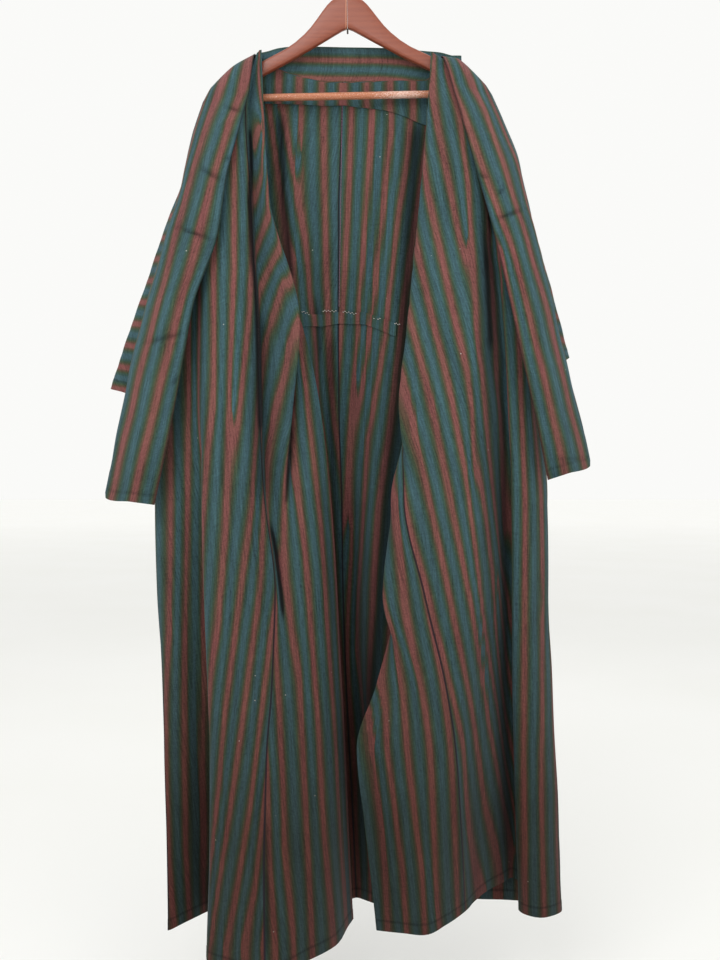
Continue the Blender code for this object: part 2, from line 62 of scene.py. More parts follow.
cameraData = bpy.data.cameras.new("camera")
cameraData.lens = cameraSettings["lens"]
cameraData.sensor_fit = "VERTICAL"
cameraData.sensor_width = 36
cameraData.sensor_height = 36
camera = bpy.data.objects.new("camera", cameraData)
camera.location = cameraSettings["place"]
camera.rotation_euler = (math.radians(90), 0, 0)
scene.collection.objects.link(camera)
scene.camera = camera

# Rows down the cloth, in millimetres from the top, before they are split.
bodyRows = (0, 1.5, 5, 11, 20, 34, 52, 75, 105, 140, 185, 235, 285, 330, 360, 385, 411, 445, 500,
             560, 620, 690, 760, 830, 900, 970, 1040, 1110, 1180, 1250, 1310)

# The heights at which the tables give each fold's place.
heights = (-160, -250, -380, -570, -700, -830, -970, -1100, -1190, -1300, -1460)

leftFolds = (
    # fold, top, hem, roll, steps to the next, then x and y at each of the heights
    ("centreSeam", -187, -1470, 0, 2,
     (-5, -7, -12, -13, -12, -8, -6, -2, 2, 8, 15),
     (18, 24, 36, 56, 64, 68, 70, 70, 69, 67, 62)),
    ("backDip", -187, -1470, 0, 3,
     (-28, -30, -33, -37, -32, -27, -21, -16, -12, -6, 3),
     (18, 26, 38, 52, 58, 60, 58, 56, 55, 54, 52)),
    ("backCrest", -178, -1468, 0, 3,
     (-79, -85, -92, -74, -65, -54, -45, -39, -34, -27, -21),
     (14, 18, 16, 6, 6, 10, 14, 18, 21, 25, 32)),
    ("backMiddle", -160, -1466, 0, 3,
     (-136, -143, -150, -150, -151, -151, -145, -139, -136, -133, -133),
     (12, 20, 26, 30, 32, 35, 39, 43, 44, 45, 46)),
    ("backOuter", -181, -1464, 18, 4,
     (-168, -192, -215, -228, -228, -226, -223, -220, -219, -217, -216),
     (10, 17, 23, 28, 30, 33, 36, 37, 37, 35, 30)),
    ("sideSeam", -209, -1472, 8, 2,
     (-192, -214, -246, -272, -283, -291, -286, -277, -273, -268, -263),
     (0, 1, 2, 2, 0, -4, -12, -20, -27, -36, -46)),
    ("strip", -213, -1464, 16, 2,
     (-182, -204, -230, -248, -256, -252, -251, -248, -245, -240, -236),
     (-7, -11, -16, -22, -26, -30, -34, -36, -36, -35, -32)),
    ("stripDip", -198, -1464, 18, 2,
     (-185, -197, -216, -226, -222, -208, -202, -195, -192, -192, -201),
     (-9, -18, -26, -34, -36, -32, -24, -15, -9, -3, 6)),
    ("outerFold", -190, -1466, 20, 2,
     (-180, -188, -203, -208, -207, -208, -203, -195, -190, -188, -187),
     (-9, -26, -40, -54, -62, -70, -86, -104, -116, -132, -155)),
    ("faceOuter", -176, -1468, 22, 2,
     (-160, -175, -177, -178, -177, -172, -167, -161, -156, -152, -152),
     (-11, -34, -46, -60, -70, -82, -98, -117, -131, -149, -175)),
    ("faceInner", -166, -1468, 22, 2,
     (-146, -160, -157, -153, -149, -144, -139, -133, -130, -128, -125),
     (-12, -36, -44, -54, -64, -78, -98, -120, -136, -155, -186)),
    ("collarSeam", -160, -1468, 22, 1,
     (-140, -151, -142, -133, -128, -120, -102, -104, -109, -110, -106),
     (-13, -33, -32, -36, -42, -54, -82, -112, -132, -155, -190)),
    ("crease", -157, -1468, 0, 3,
     (-134, -147, -138, -129, -124, -116, -98, -99, -105, -105, -101),
     (-16, -24, -19, -19, -25, -40, -78, -109, -130, -154, -189)),
    ("collarFold", -153, -1466, 0, 3,
     (-128, -123, -115, -68, -79, -90, -87, -85, -87, -87, -82),
     (-17, -36, -44, -50, -46, -52, -78, -104, -124, -149, -186)),
    ("collarCrease", -168, -1462, 0, 2,
     (-137, -142, -130, -87, -93, -74, -62, -62, -61, -57, -50),
     (-7.2, -14, -10, -26, -20, -42, -72, -94, -114, -137, -158)),
    ("collarOuter", -186, -1461, 0, 2,
     (-156, -160, -146, -83, -60, -47, -34, -31, -27, -23, -15),
     (-8.8, -12.5, -3, -13, -18, -34, -60, -78, -92, -112, -118)),
    ("collarEdge", -196, -1460, 0, 0,
     (-170, -174, -160, -66, -38, -24, -13, -6, -2, 3, 11),
     (-8.8, -11.8, 2, -6, -6, -8, -20, -33, -41, -50, -35)),
)

rightFolds = (
    # fold, top, hem, roll, steps to the next, then x and y at each of the heights
    leftFolds[0],
    ("backDip", -187, -1467, 0, 3,
     (9, 9, 7, 9, 10, 11, 13, 17, 21, 25, 31),
     (18, 25, 37, 50, 57, 62, 62, 59, 56, 52, 46)),
    ("backCrest", -187, -1466, 0, 2,
     (83, 86, 83, 77, 69, 54, 44, 43, 45, 49, 54),
     (13, 16, 16, 6, 4, 2, 6, 11, 15, 20, 28)),
    ("backShoulder", -186, -1465, 0, 2,
     (122, 126, 124, 118, 110, 99, 94, 95, 96, 98, 101),
     (12.5, 18, 21, 18, 18, 18, 22, 26, 29, 32, 37)),
    ("backMiddle", -166, -1465, 0, 3,
     (146, 158, 165, 159, 150, 143, 144, 147, 147, 147, 148),
     (11, 20, 26, 30, 31, 33, 37, 41, 42, 44, 46)),
    ("backOuter", -189, -1463, 18, 4,
     (184, 220, 239, 255, 262, 265, 269, 273, 274, 276, 278),
     (10, 17, 23, 28, 30, 33, 36, 38, 38, 38, 34)),
    ("sideSeam", -203, -1461, 8, 2,
     (196, 222, 256, 284, 296, 308, 308, 315, 318, 324, 329),
     (0, 1, 2, 3, 3, 2, 0, -1, -2, -2, -2)),
    ("strip", -196, -1460, 16, 2,
     (191, 211, 240, 262, 270, 274, 275, 278, 280, 286, 291),
     (-8, -12, -20, -30, -36, -42, -44, -43, -41, -37, -30)),
    ("stripEdge", -190, -1460, 18, 2,
     (187, 203, 226, 237, 243, 247, 248, 249, 252, 256, 264),
     (-9, -16, -26, -38, -42, -44, -42, -39, -34, -25, -4)),
    ("stripFold", -184, -1445, 20, 2,
     (182, 196, 216, 239, 253, 266, 268, 270, 273, 277, 282),
     (-10, -22, -30, -27, -18, -12, -8, -3, 2, 9, 18)),
    ("valley", -178, -1424, 20, 3,
     (179, 190, 207, 234, 242, 246, 248, 250, 253, 258, 263),
     (-9, -26, -33, -24, -12, -6, -1, 5, 11, 19, 28)),
    ("valleySide", -170, -1423, 22, 2,
     (170, 194, 209, 215, 218, 220, 222, 221, 224, 231, 242),
     (-10, -33, -42, -44, -44, -46, -46, -42, -30, -12, 10)),
    ("ridge", -166, -1428, 20, 3,
     (160, 175, 188, 189, 188, 189, 188, 182, 186, 195, 209),
     (-12, -38, -52, -66, -73, -80, -87, -88, -74, -50, -12)),
    ("face", -161.5, -1434, 10, 3,
     (146, 150, 151, 144, 141, 145, 157, 164, 169, 176, 192),
     (-17, -38, -52, -66, -76, -87, -98, -102, -92, -74, -30)),
    ("frontFold", -157.5, -1437, 0, 3,
     (129, 123, 111, 92, 79, 102, 130, 152, 163, 170, 184),
     (-19.5, -32, -42, -56, -66, -84, -99, -104, -98, -85, -44)),
    ("collarSeam", -162.5, -1439, 0, 2,
     (138, 138, 130, 107, 87, 85, 114, 144, 158, 167, 177),
     (-6.5, -22, -24, -37, -50, -80, -98, -106, -102, -92, -52)),
    ("collarInner", -206, -1447, 0, 2,
     (158, 158, 158, 135, 110, 67, 83, 115, 127, 136, 148),
     (-17.5, -18, -17, -25, -32, -72, -94, -105, -105, -101, -78)),
    ("collarCrease", -206, -1453, 0, 2,
     (172, 175, 180, 160, 130, 76, 55, 93, 100, 107, 119),
     (-15.5, -15, -10, -16, -20, -46, -86, -102, -104, -104, -100)),
    ("collarOuter", -206, -1455, 0, 2,
     (163, 162, 160, 140, 112, 92, 66, 71, 60, 66, 82),
     (-10.8, -10, -2, -4, -8, -30, -62, -98, -100, -98, -93)),
    ("collarEdge", -206, -1456, 0, 0,
     (150, 145, 138, 115, 92, 78, 76, 45, 17, 28, 46),
     (-10.8, -10, -1, 0, -4, -22, -46, -82, -84, -82, -80)),
)

# A row per section: x, y, z of the front's inner edge, middle and outer edge, the turn behind it, then
# the back's outer edge, middle and inner edge.
leftSleeve = (
    ((-138, -0.6, -154), (-171, -0.6, -173), (-204, -0.6, -203), (-206, 0.5, -203),
     (-205, 1.6, -203), (-172, 1.0, -172), (-138, 1.0, -153)),
    ((-143, -37, -220), (-179, -36, -232), (-214, -14, -232), (-219, -1, -227),
     (-219, 12, -222), (-187, 22, -206), (-155, 26, -194)),
    ((-156, -50, -279), (-189, -50, -286), (-226, -28, -283), (-232, -8, -273),
     (-233, 14, -263), (-200, 28, -258), (-169, 31, -249)),
    ((-173, -58, -348), (-206, -62, -364), (-245, -36, -368), (-250, -13, -358),
     (-252, 12, -349), (-221, 31, -332), (-189, 36, -315)),
    ((-189, -66, -454), (-224, -70, -447), (-263, -42, -429), (-265, -16, -418),
     (-275, 6, -408), (-243, 31, -390), (-208, 38, -377)),
    ((-220, -68, -541), (-252, -74, -541), (-291, -44, -532), (-289, -16, -500),
     (-298, 4, -479), (-263, 30, -464), (-224, 39, -452)),
    ((-234, -68, -614), (-270, -73, -615), (-313, -42, -611), (-305, -15, -566),
     (-319, 2, -540), (-280, 29, -529), (-238, 40, -524)),
    ((-257, -62, -731), (-293, -66, -728), (-337, -36, -722), (-319, -13, -628),
     (-340, 0.0, -603), (-297, 28, -601), (-251, 41, -603)),
    ((-283, -48, -841), (-318, -54, -836), (-360, -28, -831), (-329, -11, -675),
     (-359, -2, -665), (-312, 27, -673), (-262, 42, -683)),
)

rightSleeve = (
    ((145, -0.6, -158), (170, -0.6, -162), (210, -0.6, -198), (211.5, 0.5, -197.5),
     (210, 1.6, -197), (190, 1.0, -179), (178, 1.0, -168)),
    ((157, -37, -208), (183, -36, -217), (219, -14, -220), (223, -1, -215),
     (222, 12, -210), (203, 22, -201), (188, 26, -190)),
    ((169, -50, -257), (199, -50, -261), (232, -26, -260), (238, -6, -252),
     (238, 14, -245), (209, 28, -232), (174, 31, -229)),
    ((190, -60, -341), (221, -64, -337), (254, -36, -323), (261, -12, -315),
     (262, 12, -307), (229, 31, -299), (194, 36, -295)),
    ((213, -68, -427), (240, -72, -415), (271, -42, -395), (273, -15, -384),
     (278, 8, -373), (245, 31, -367), (210, 38, -365)),
    ((236, -72, -527), (264, -76, -518), (298, -44, -501), (293, -14, -473),
     (293, 5, -439), (260, 31, -435), (226, 39, -435)),
    ((257, -72, -622), (286, -76, -619), (322, -42, -611), (307, -14, -531),
     (310, 3, -499), (274, 30, -501), (238, 40, -505)),
    ((280, -66, -722), (309, -70, -714), (345, -38, -703), (320, -14, -584),
     (326, 1.0, -559), (288, 29, -562), (249, 41, -568)),
    ((298, -56, -804), (328, -62, -794), (366, -32, -783), (331, -14, -625),
     (341, -1.0, -617), (302, 28, -625), (261, 42, -634)),
)

# The neck band's upper edge (x, y, z), then x, y and the heights of its foot and upper edge past its ends.
neckEdge = ((-136, 9, -147), (-122, 12, -143), (-106, 17, -136), (-80, 21, -131.5), (-40, 24, -130.5),
             (0, 25, -131), (40, 24, -132), (75, 20, -135), (102, 16, -139), (122, 13, -142),
             (146, 10, -145.5), (162, 8, -151))
neckLeftEnd = ((-131.5, -11.5, -157.5, -151), (-131, -4, -164.6, -150), (-132, 5, -165, -148.5))
neckRightEnd = (170, 5, -168.6, -157)

# Seen edges of the layers inside the back, as x and z.
backingEdge = ((-150, -221), (-90, -223), (0, -223), (55, -231), (75, -237), (110, -252), (150, -262))
tuckTop = ((-110, -560), (-70, -549), (-13, -538), (30, -541), (75, -563), (110, -574))
tuckFoot = ((-110, -578), (-70, -568), (-13, -556), (30, -560), (75, -583), (110, -594))

# The arm from the middle outwards: distance from the middle, upper edge and lower edge.
armProfile = ((0.15, -64.7, -113.7), (8, -65.2, -116.5), (15, -66.8, -120.5), (23, -70.5, -125),
              (30, -77, -129), (38, -87, -133.5), (46, -98, -138), (56, -111, -143.5), (66, -121.5, -149),
              (80, -133.5, -157), (95, -143.5, -165), (112, -152, -173.5), (128.6, -160.5, -182),
              (144, -170, -190), (160, -179, -198), (173.7, -188, -206), (174.2, -188.4, -227),
              (184, -196, -228), (191, -203, -225), (195, -209, -217))

# The seen lines of the red stripes on each run of cloth: (z, x) on the hanger's plane, from the top down.
stripeTracks = {
    "frontRight": (
        ((-299, 199), (-391, 216), (-758, 237), (-881, 243)),
        ((-176, 152), (-238, 173), (-360, 187), (-574, 200), (-881, 231), (-942, 237), (-972, 245),
         (-1018, 251)),
        ((-176, 118), (-207, 129), (-440, 175)),
        ((-322, 119), (-360, 124), (-574, 170), (-636, 185), (-697, 193), (-790, 197)),
        ((-429, 104), (-544, 129), (-666, 159), (-789, 182), (-1034, 213), (-1156, 233), (-1230, 242)),
        ((-521, 89), (-697, 133), (-1003, 193), (-1187, 219), (-1309, 242), (-1370, 256)),
        ((-613, 80), (-911, 144), (-1141, 190), (-1309, 214), (-1370, 231), (-1416, 240)),
        ((-697, 70), (-972, 124), (-1034, 138), (-1095, 155), (-1217, 181), (-1278, 182), (-1340, 187),
         (-1401, 197), (-1447, 217)),
        ((-850, 86), (-911, 95), (-972, 112), (-1156, 148), (-1217, 153), (-1294, 153), (-1340, 159),
         (-1493, 190)),
    ),
    "collarRight": (
        ((-835, 77), (-988, 89), (-1034, 95), (-1156, 121), (-1217, 129), (-1462, 139)),
        ((-926, 43), (-988, 58), (-1034, 72), (-1156, 89), (-1217, 93), (-1401, 116), (-1500, 121)),
        ((-1049, 24), (-1125, 54), (-1156, 60), (-1217, 63), (-1401, 87), (-1508, 93)),
        ((-1110, 14), (-1141, 24), (-1156, 34), (-1278, 47), (-1340, 57), (-1508, 64)),
    ),
    "stripRight": (
        ((-605, 265), (-835, 274), (-1248, 272), (-1493, 275)),
        ((-682, 286), (-819, 297), (-988, 302), (-1156, 300), (-1217, 298), (-1493, 303)),
        ((-1141, 321), (-1493, 331)),
    ),
    "frontLeft": (
        ((-161, -202), (-697, -202)),
        ((-161, -171), (-483, -171), (-651, -178), (-881, -184), (-1003, -194), (-1040, -197)),
        ((-161, -129), (-452, -139), (-513, -148), (-544, -148), (-750, -168)),
        ((-375, -101), (-513, -107), (-605, -116), (-666, -133), (-850, -145), (-1156, -185),
         (-1278, -194), (-1370, -205)),
        ((-712, -118), (-789, -124), (-972, -132), (-1340, -181), (-1462, -201), (-1523, -208)),
        ((-1018, -113), (-1309, -147), (-1432, -167), (-1523, -185)),
        ((-1171, -110), (-1248, -121), (-1432, -139), (-1523, -159)),
        ((-1416, -116), (-1523, -129)),
    ),
    "collarLeft": (
        ((-1141, -126), (-1263, -119), (-1370, -118), (-1523, -107)),
        ((-926, -119), (-972, -110), (-1003, -107), (-1049, -109), (-1278, -96), (-1370, -95),
         (-1493, -81), (-1523, -80)),
        ((-926, -107), (-965, -95), (-1003, -87), (-1049, -83), (-1095, -72), (-1523, -52)),
        ((-789, -86), (-819, -75), (-911, -63), (-1202, -41), (-1340, -34), (-1523, -18)),
        ((-574, -72), (-881, -38), (-1401, -5), (-1500, 2)),
    ),
    "collarLeftInner": (
        ((-261, -129), (-296, -141)),
        ((-333, -126), (-383, -141)),
        ((-395, -115), (-424, -127), (-457, -139)),
        ((-444, -98), (-473, -113), (-510, -132)),
        ((-502, -95), (-536, -106), (-567, -116), (-620, -129), (-666, -135)),
        ((-559, -73), (-597, -86), (-651, -95), (-700, -110), (-758, -119), (-796, -124)),
    ),
    "stripLeft": (
        ((-238, -300), (-528, -292), (-727, -269), (-1018, -269), (-1141, -277), (-1401, -271),
         (-1485, -262)),
        ((-222, -239), (-666, -240), (-1141, -248), (-1370, -246), (-1477, -239)),
        ((-222, -216), (-988, -217), (-1294, -219), (-1447, -217)),
    ),
    "backLeft": (
        ((-207, -121), (-268, -113), (-424, -92), (-470, -80)),
        ((-222, -100), (-429, -64), (-605, -46), (-1064, -23), (-1370, -11)),
        ((-222, -69), (-350, -68), (-395, -70)),
        ((-207, -35), (-421, -32), (-636, -25), (-720, -18)),
    ),
    "backRight": (
        ((-207, 9), (-360, 5), (-560, -6)),
        ((-207, 43), (-758, 5), (-865, 0)),
        ((-207, 69), (-268, 69), (-513, 44), (-550, 40)),
        ((-207, 103), (-330, 92), (-391, 81), (-582, 60), (-743, 34), (-988, 18), (-1064, 17),
         (-1125, 24), (-1370, 40)),
        ((-207, 129), (-284, 124), (-513, 90), (-727, 67), (-850, 49), (-1141, 34), (-1187, 35),
         (-1416, 54)),
        ((-207, 162), (-299, 156), (-758, 92), (-926, 75), (-1110, 61), (-1202, 57), (-1370, 64)),
    ),
    "sleeveRight": (
        ((-161, 171), (-176, 184), (-238, 213), (-391, 263), (-574, 317), (-636, 329), (-804, 370)),
        ((-161, 145), (-207, 164), (-238, 173), (-268, 190), (-391, 231), (-452, 256), (-636, 300),
         (-804, 337)),
        ((-437, 236), (-513, 248), (-559, 260), (-620, 266), (-697, 286), (-789, 305), (-812, 311)),
    ),
    "sleeveLeft": (
        ((-134, -144), (-161, -168), (-199, -190), (-238, -207), (-299, -227), (-330, -234),
         (-360, -245), (-544, -288), (-605, -306), (-789, -351), (-842, -361)),
        ((-143, -129), (-207, -161), (-238, -171), (-268, -184), (-299, -190), (-421, -227),
         (-452, -231), (-789, -317), (-842, -328)),
        ((-161, -119), (-184, -129), (-314, -165), (-375, -176), (-429, -191), (-475, -207),
         (-605, -239), (-682, -254), (-796, -283), (-842, -292)),
    ),
}


# A cubic from a to b with slopes ta and tb there: the four Hermite weights of the share t.
def hermite(t, a, b, ta, tb):
    start = (1 + 2 * t) * (1 - t) ** 2 * a + t * (1 - t) ** 2 * ta
    return start + t * t * (3 - 2 * t) * b - t * t * (1 - t) * tb


# A cubic through a table's values that keeps level at its peaks, so that no fold swings past its rows.
def along(stations, values, at):
    order = np.argsort(stations)
    s, v = np.asarray(stations, float)[order], np.asarray(values, float)[order]
    step, rise = np.diff(s), np.diff(v) / np.diff(s)
    slope = np.empty(len(s))
    slope[0], slope[-1] = rise[0], rise[-1]
    low, high = 2 * step[1:] + step[:-1], step[1:] + 2 * step[:-1]
    with np.errstate(divide="ignore", invalid="ignore"):
        mean = (low + high) / (low / rise[:-1] + high / rise[1:])
    slope[1:-1] = np.where(rise[:-1] * rise[1:] > 0, mean, 0)
    at = np.clip(at, s[0], s[-1])
    i = np.clip(np.searchsorted(s, at) - 1, 0, len(s) - 2)
    return hermite((at - s[i]) / step[i], v[i], v[i + 1], step[i] * slope[i], step[i] * slope[i + 1])


cornerPace = 0.35  # of the full pace, at a point where the line turns right back


# A rounded line through each row's points, with its own number of steps in each span. At each point it
# runs along the mean of the two directions, more slowly the sharper the turn.
def across(points, steps):
    leg = np.diff(points, axis=1)
    length = np.maximum(np.linalg.norm(leg, axis=2, keepdims=True), 1e-9)
    way = leg / length
    turn = np.linalg.norm(way[:, :-1] + way[:, 1:], axis=2, keepdims=True) / 2
    even = length[:, 1:] / (length[:, 1:] + length[:, :-1])
    part = even * turn + 0.5 * (1 - turn)
    mean = way[:, :-1] * part + way[:, 1:] * (1 - part)
    mean /= np.maximum(np.linalg.norm(mean, axis=2, keepdims=True), 1e-9)
    pace = cornerPace + (1 - cornerPace) * turn
    tangent = np.concatenate([way[:, :1], mean * pace, way[:, -1:]], axis=1)
    near = np.minimum(length[:, :-1], length[:, 1:])
    leave = tangent[:, :-1] * np.concatenate([length[:, :1], near], axis=1)
    arrive = tangent[:, 1:] * np.concatenate([near, length[:, -1:]], axis=1)
    spans = []
    for k, count in enumerate(steps):
        share = (np.arange(count) / count)[None, :, None]
        spans.append(hermite(share, points[:, k, None], points[:, k + 1, None], leave[:, k, None],
                             arrive[:, k, None]))
    return np.concatenate(spans + [points[:, -1:]], axis=1)


# The direction along one axis of a grid at each point: the sum of the unit steps before and after it.
def waysOf(grid, axis):
    step = np.diff(grid, axis=axis)
    step /= np.maximum(np.linalg.norm(step, axis=2, keepdims=True), 1e-12)
    first, last = np.take(step, [0], axis=axis), np.take(step, [-1], axis=axis)
    return np.concatenate([first, step], axis=axis) + np.concatenate([step, last], axis=axis)


# Unit normals: the direction down the grid crossed into the direction across it.
def normalsOf(grid):
    normal = np.cross(waysOf(grid, 1), waysOf(grid, 0))
    return normal / np.maximum(np.linalg.norm(normal, axis=2, keepdims=True), 1e-12)


# Distance along one axis of a grid from its first line: the running sum of the steps' lengths.
def arcOf(grid, axis):
    step = np.linalg.norm(np.diff(grid, axis=axis), axis=2)
    start = np.zeros_like(np.take(step, [0], axis=axis))
    return np.concatenate([start, np.cumsum(step, axis=axis)], axis=axis)


# Where a point shows on the hanger's own plane, in millimetres: its offset from the camera's axis, times
# the plane's distance over the point's distance.
def seenPlace(grid):
    cx, cy, cz = cameraSettings["place"]
    scale = -cy / (grid[..., 1] - cy)
    return (cx + (grid[..., 0] - cx) * scale) / mm, (cz + (grid[..., 2] - cz) * scale) / mm


# The other way round: the point at depth y that shows at x and z on the hanger's plane.
def placeSeen(x, y, z):
    cx, cy, cz = cameraSettings["place"]
    scale = (y - cy) / -cy
    return np.stack([cx + (x - cx) * scale, y, cz + (z - cz) * scale], axis=-1)


# Smooth step: 3t^2 - 2t^3 of the share of the way from a to b, held at 0 before and 1 after.
def smooth(a, b, value):
    t = np.clip((value - a) / (b - a), 0, 1)
    return t * t * (3 - 2 * t)


# A bell curve of distance: e to the power of minus half the square of distance over width.
def bell(distance, width):
    return np.exp(-((distance / width) ** 2) / 2)


# A crease's end tapers over this share of its length, or over this many mm and twice its width where that is
# shorter.
creaseFade = {"share": 0.45, "length": 30}


# How strong each crease is at each point, in its own unit: its height times a bell curve of the point's
# distance from the crease's line, which tapers off towards its ends. Places are those seen on the
# hanger's plane, in millimetres.
def creaseHeight(seenX, seenZ, creases):
    total = np.zeros_like(seenX)
    for points, width, height in creases:
        line = np.array(points, float)
        leg = np.diff(line, axis=0)
        length = np.linalg.norm(leg, axis=1)
        start = np.concatenate([[0], np.cumsum(length)])
        best, place = np.full(seenX.shape, np.inf), np.zeros_like(seenX)
        for k in range(len(leg)):
            dx, dz = seenX - line[k, 0], seenZ - line[k, 1]
            t = np.clip((dx * leg[k, 0] + dz * leg[k, 1]) / length[k] ** 2, 0, 1)
            gap = np.hypot(dx - t * leg[k, 0], dz - t * leg[k, 1])
            place = np.where(gap < best, start[k] + t * length[k], place)
            best = np.minimum(best, gap)
        end = min(start[-1] * creaseFade["share"], creaseFade["length"] + 2 * width)
        total += height * bell(best, width) * smooth(0, end, place) * smooth(0, end, start[-1] - place)
    return total


# Stripes: their repeat, the least distance between two of them and the distance that counts as far from a
# seam, in metres. Then the share of a repeat by which a gap may be too wide, how stiffly the field keeps its
# spacing and its marks, and where its solving stops.
stripeSettings = {"repeat": 0.030, "closest": 0.015, "farFromSeam": 0.05, "slack": 0.15, "sideways": 0.03,
                  "pull": 40.0, "turns": 1500, "error": 1e-9}


# Where the rows of a run of columns cross the seen lines, sorted by row and distance: the line's number,
# row, column, share of the way to the next column and distance across. Of two that lie too close, the one
# on the longer line stays.
def crossings(grid, arc, first, last, lines):
    seenX, seenZ = seenPlace(grid[:, first:last + 1])
    found = []
    for k, line in enumerate(lines):
        z, x = np.array(line, float).T
        off = seenX - np.interp(-seenZ, -z, x)
        inside = (seenZ <= z[0]) & (seenZ >= z[-1])
        flips = (off[:, :-1] * off[:, 1:] <= 0) & inside[:, :-1] & inside[:, 1:]
        row = np.flatnonzero(flips.any(axis=1))
        i = flips[row].argmax(axis=1)
        share = off[row, i] / (off[row, i] - off[row, i + 1] + 1e-12)
        place = arc[row, first + i] * (1 - share) + arc[row, first + i + 1] * share
        found.append(np.stack([np.full(len(row), k), row, first + i, share, place], axis=1))
    found = np.concatenate(found)
    found = found[np.lexsort((found[:, 4], found[:, 1]))]
    line = found[:, 0].astype(int)
    length = np.bincount(line)[line]
    close = (np.diff(found[:, 4]) < stripeSettings["closest"]) & (np.diff(found[:, 1]) == 0)
    keep = np.ones(len(found), bool)
    keep[1:][close & (length[1:] <= length[:-1])] = False
    keep[:-1][close & (length[1:] > length[:-1])] = False
    return found[keep]


# Where two seen stripes lie closer than the repeats counted between them, the others have gone into a
# fold: the field jumps by that whole number beside the one they joined, or at the hidden column between
# two runs, which the stripes don't show. Given back are the jumps from column to column and from row to
# row. The second are the change in the jumps' sum between two stripes that both rows cross.
def slips(arc, marks, hidden):
    rows, columns = arc.shape
    marks = marks[np.lexsort((marks[:, 4], marks[:, 1]))]
    a, b = marks[:-1], marks[1:]
    same = a[:, 1] == b[:, 1]
    a, b = a[same], b[same]
    counted, true = b[:, 0] - a[:, 0], (b[:, 4] - a[:, 4]) / stripeSettings["repeat"]
    kept = np.maximum(np.round(true - stripeSettings["slack"]), 1)
    jump = np.sign(counted) * np.maximum(np.abs(counted) - kept, 0)
    apart = a[:, 5] != b[:, 5]
    jump[apart] = (counted - np.round(true))[apart]
    jumpU, jumpV = np.zeros((rows, columns - 1)), np.zeros((rows - 1, columns))
    crossed, held = [{} for row in range(rows)], {}
    for index, row, column, run in marks[:, [0, 1, 2, 5]].astype(int):
        crossed[row][run, index] = column
        held.setdefault((run, index), []).append(row)
    for one, two, size, gap in zip(a.astype(int), b.astype(int), jump, apart):
        row, run = one[1], one[5]
        if gap:
            jumpU[row, hidden[run]] += size
            continue
        lost = (run, one[0] + int(np.sign(two[0] - one[0])))
        first, last = (run, one[0]), (run, two[0])
        cut = (one[2] + two[2]) // 2
        if size and lost in held:
            nearest = crossed[min(held[lost], key=lambda other: abs(other - row))]
            if first in nearest and last in nearest:
                toFirst = nearest[lost] - nearest[first] <= nearest[last] - nearest[lost]
                cut = min(one[2] + 1, cut) if toFirst else max(two[2] - 1, cut)
        jumpU[row, cut] += size
    total = np.pad(np.cumsum(jumpU, axis=1), ((0, 0), (1, 0)))
    for row in range(rows - 1):
        upper, lower = crossed[row], crossed[row + 1]
        both = [key for key in upper if key in lower]
        for one, two in zip(both[:-1], both[1:]):
            span = slice(min(upper[one], lower[one]) + 1, max(upper[two], lower[two]) + 1)
            above = total[row] - total[row, upper[one]]
            below = total[row + 1] - total[row + 1, lower[one]]
            if below[lower[two] + 1] == above[upper[two] + 1]:
                jumpV[row, span] = (below - above)[span]
    return jumpU, jumpV


# The least-squares field over the grid, by conjugate gradients: it rises by one in each repeat across and
# keeps level down the cloth, apart from the jumps, and meets the marks' numbers at their places.
def solvedField(arc, down, marks, jumpU, jumpV):
    repeat, pull = stripeSettings["repeat"], stripeSettings["pull"]
    index, share = marks[:, 0], marks[:, 3]
    low = marks[:, 1].astype(int) * arc.shape[1] + marks[:, 2].astype(int)
    ends, shares = np.concatenate([low, low + 1]), np.concatenate([1 - share, share])
    du, dv = np.maximum(np.diff(arc, axis=1), 1e-5), np.maximum(np.diff(down, axis=0), 1e-5)
    tall, wide = np.concatenate([dv[:1], dv]), np.concatenate([du[:, :1], du], axis=1)
    weightU, weightV = stripeSettings["sideways"] * tall[:, 1:] / du, wide[1:] / dv

    def gathered(flowU, flowV, pulled):
        out = np.bincount(ends, np.tile(pulled, 2) * shares, arc.size).reshape(arc.shape)
        out[:, 1:] += flowU
        out[:, :-1] -= flowU
        out[1:] += flowV
        out[:-1] -= flowV
        return out

    def applied(field):
        seen = (field.ravel()[ends] * shares).reshape(2, -1).sum(axis=0)
        return gathered(weightU * np.diff(field, axis=1), weightV * np.diff(field, axis=0), pull * seen)

    field = arc / repeat + np.median(index - marks[:, 4] / repeat)
    rest = gathered(weightU * (du / repeat + jumpU), weightV * jumpV, pull * index) - applied(field)
    scale = np.bincount(ends, pull * shares**2, arc.size).reshape(arc.shape)
    scale[:, 1:] += weightU
    scale[:, :-1] += weightU
    scale[1:] += weightV
    scale[:-1] += weightV
    eased = rest / scale
    way, size = eased.copy(), (rest * eased).sum()
    enough = size * stripeSettings["error"]
    for turn in range(stripeSettings["turns"]):
        moved = applied(way)
        step = size / (way * moved).sum()
        field += step * way
        rest -= step * moved
        eased = rest / scale
        before, size = size, (rest * eased).sum()
        if size < enough:
            break
        way = eased + way * size / before
    return field


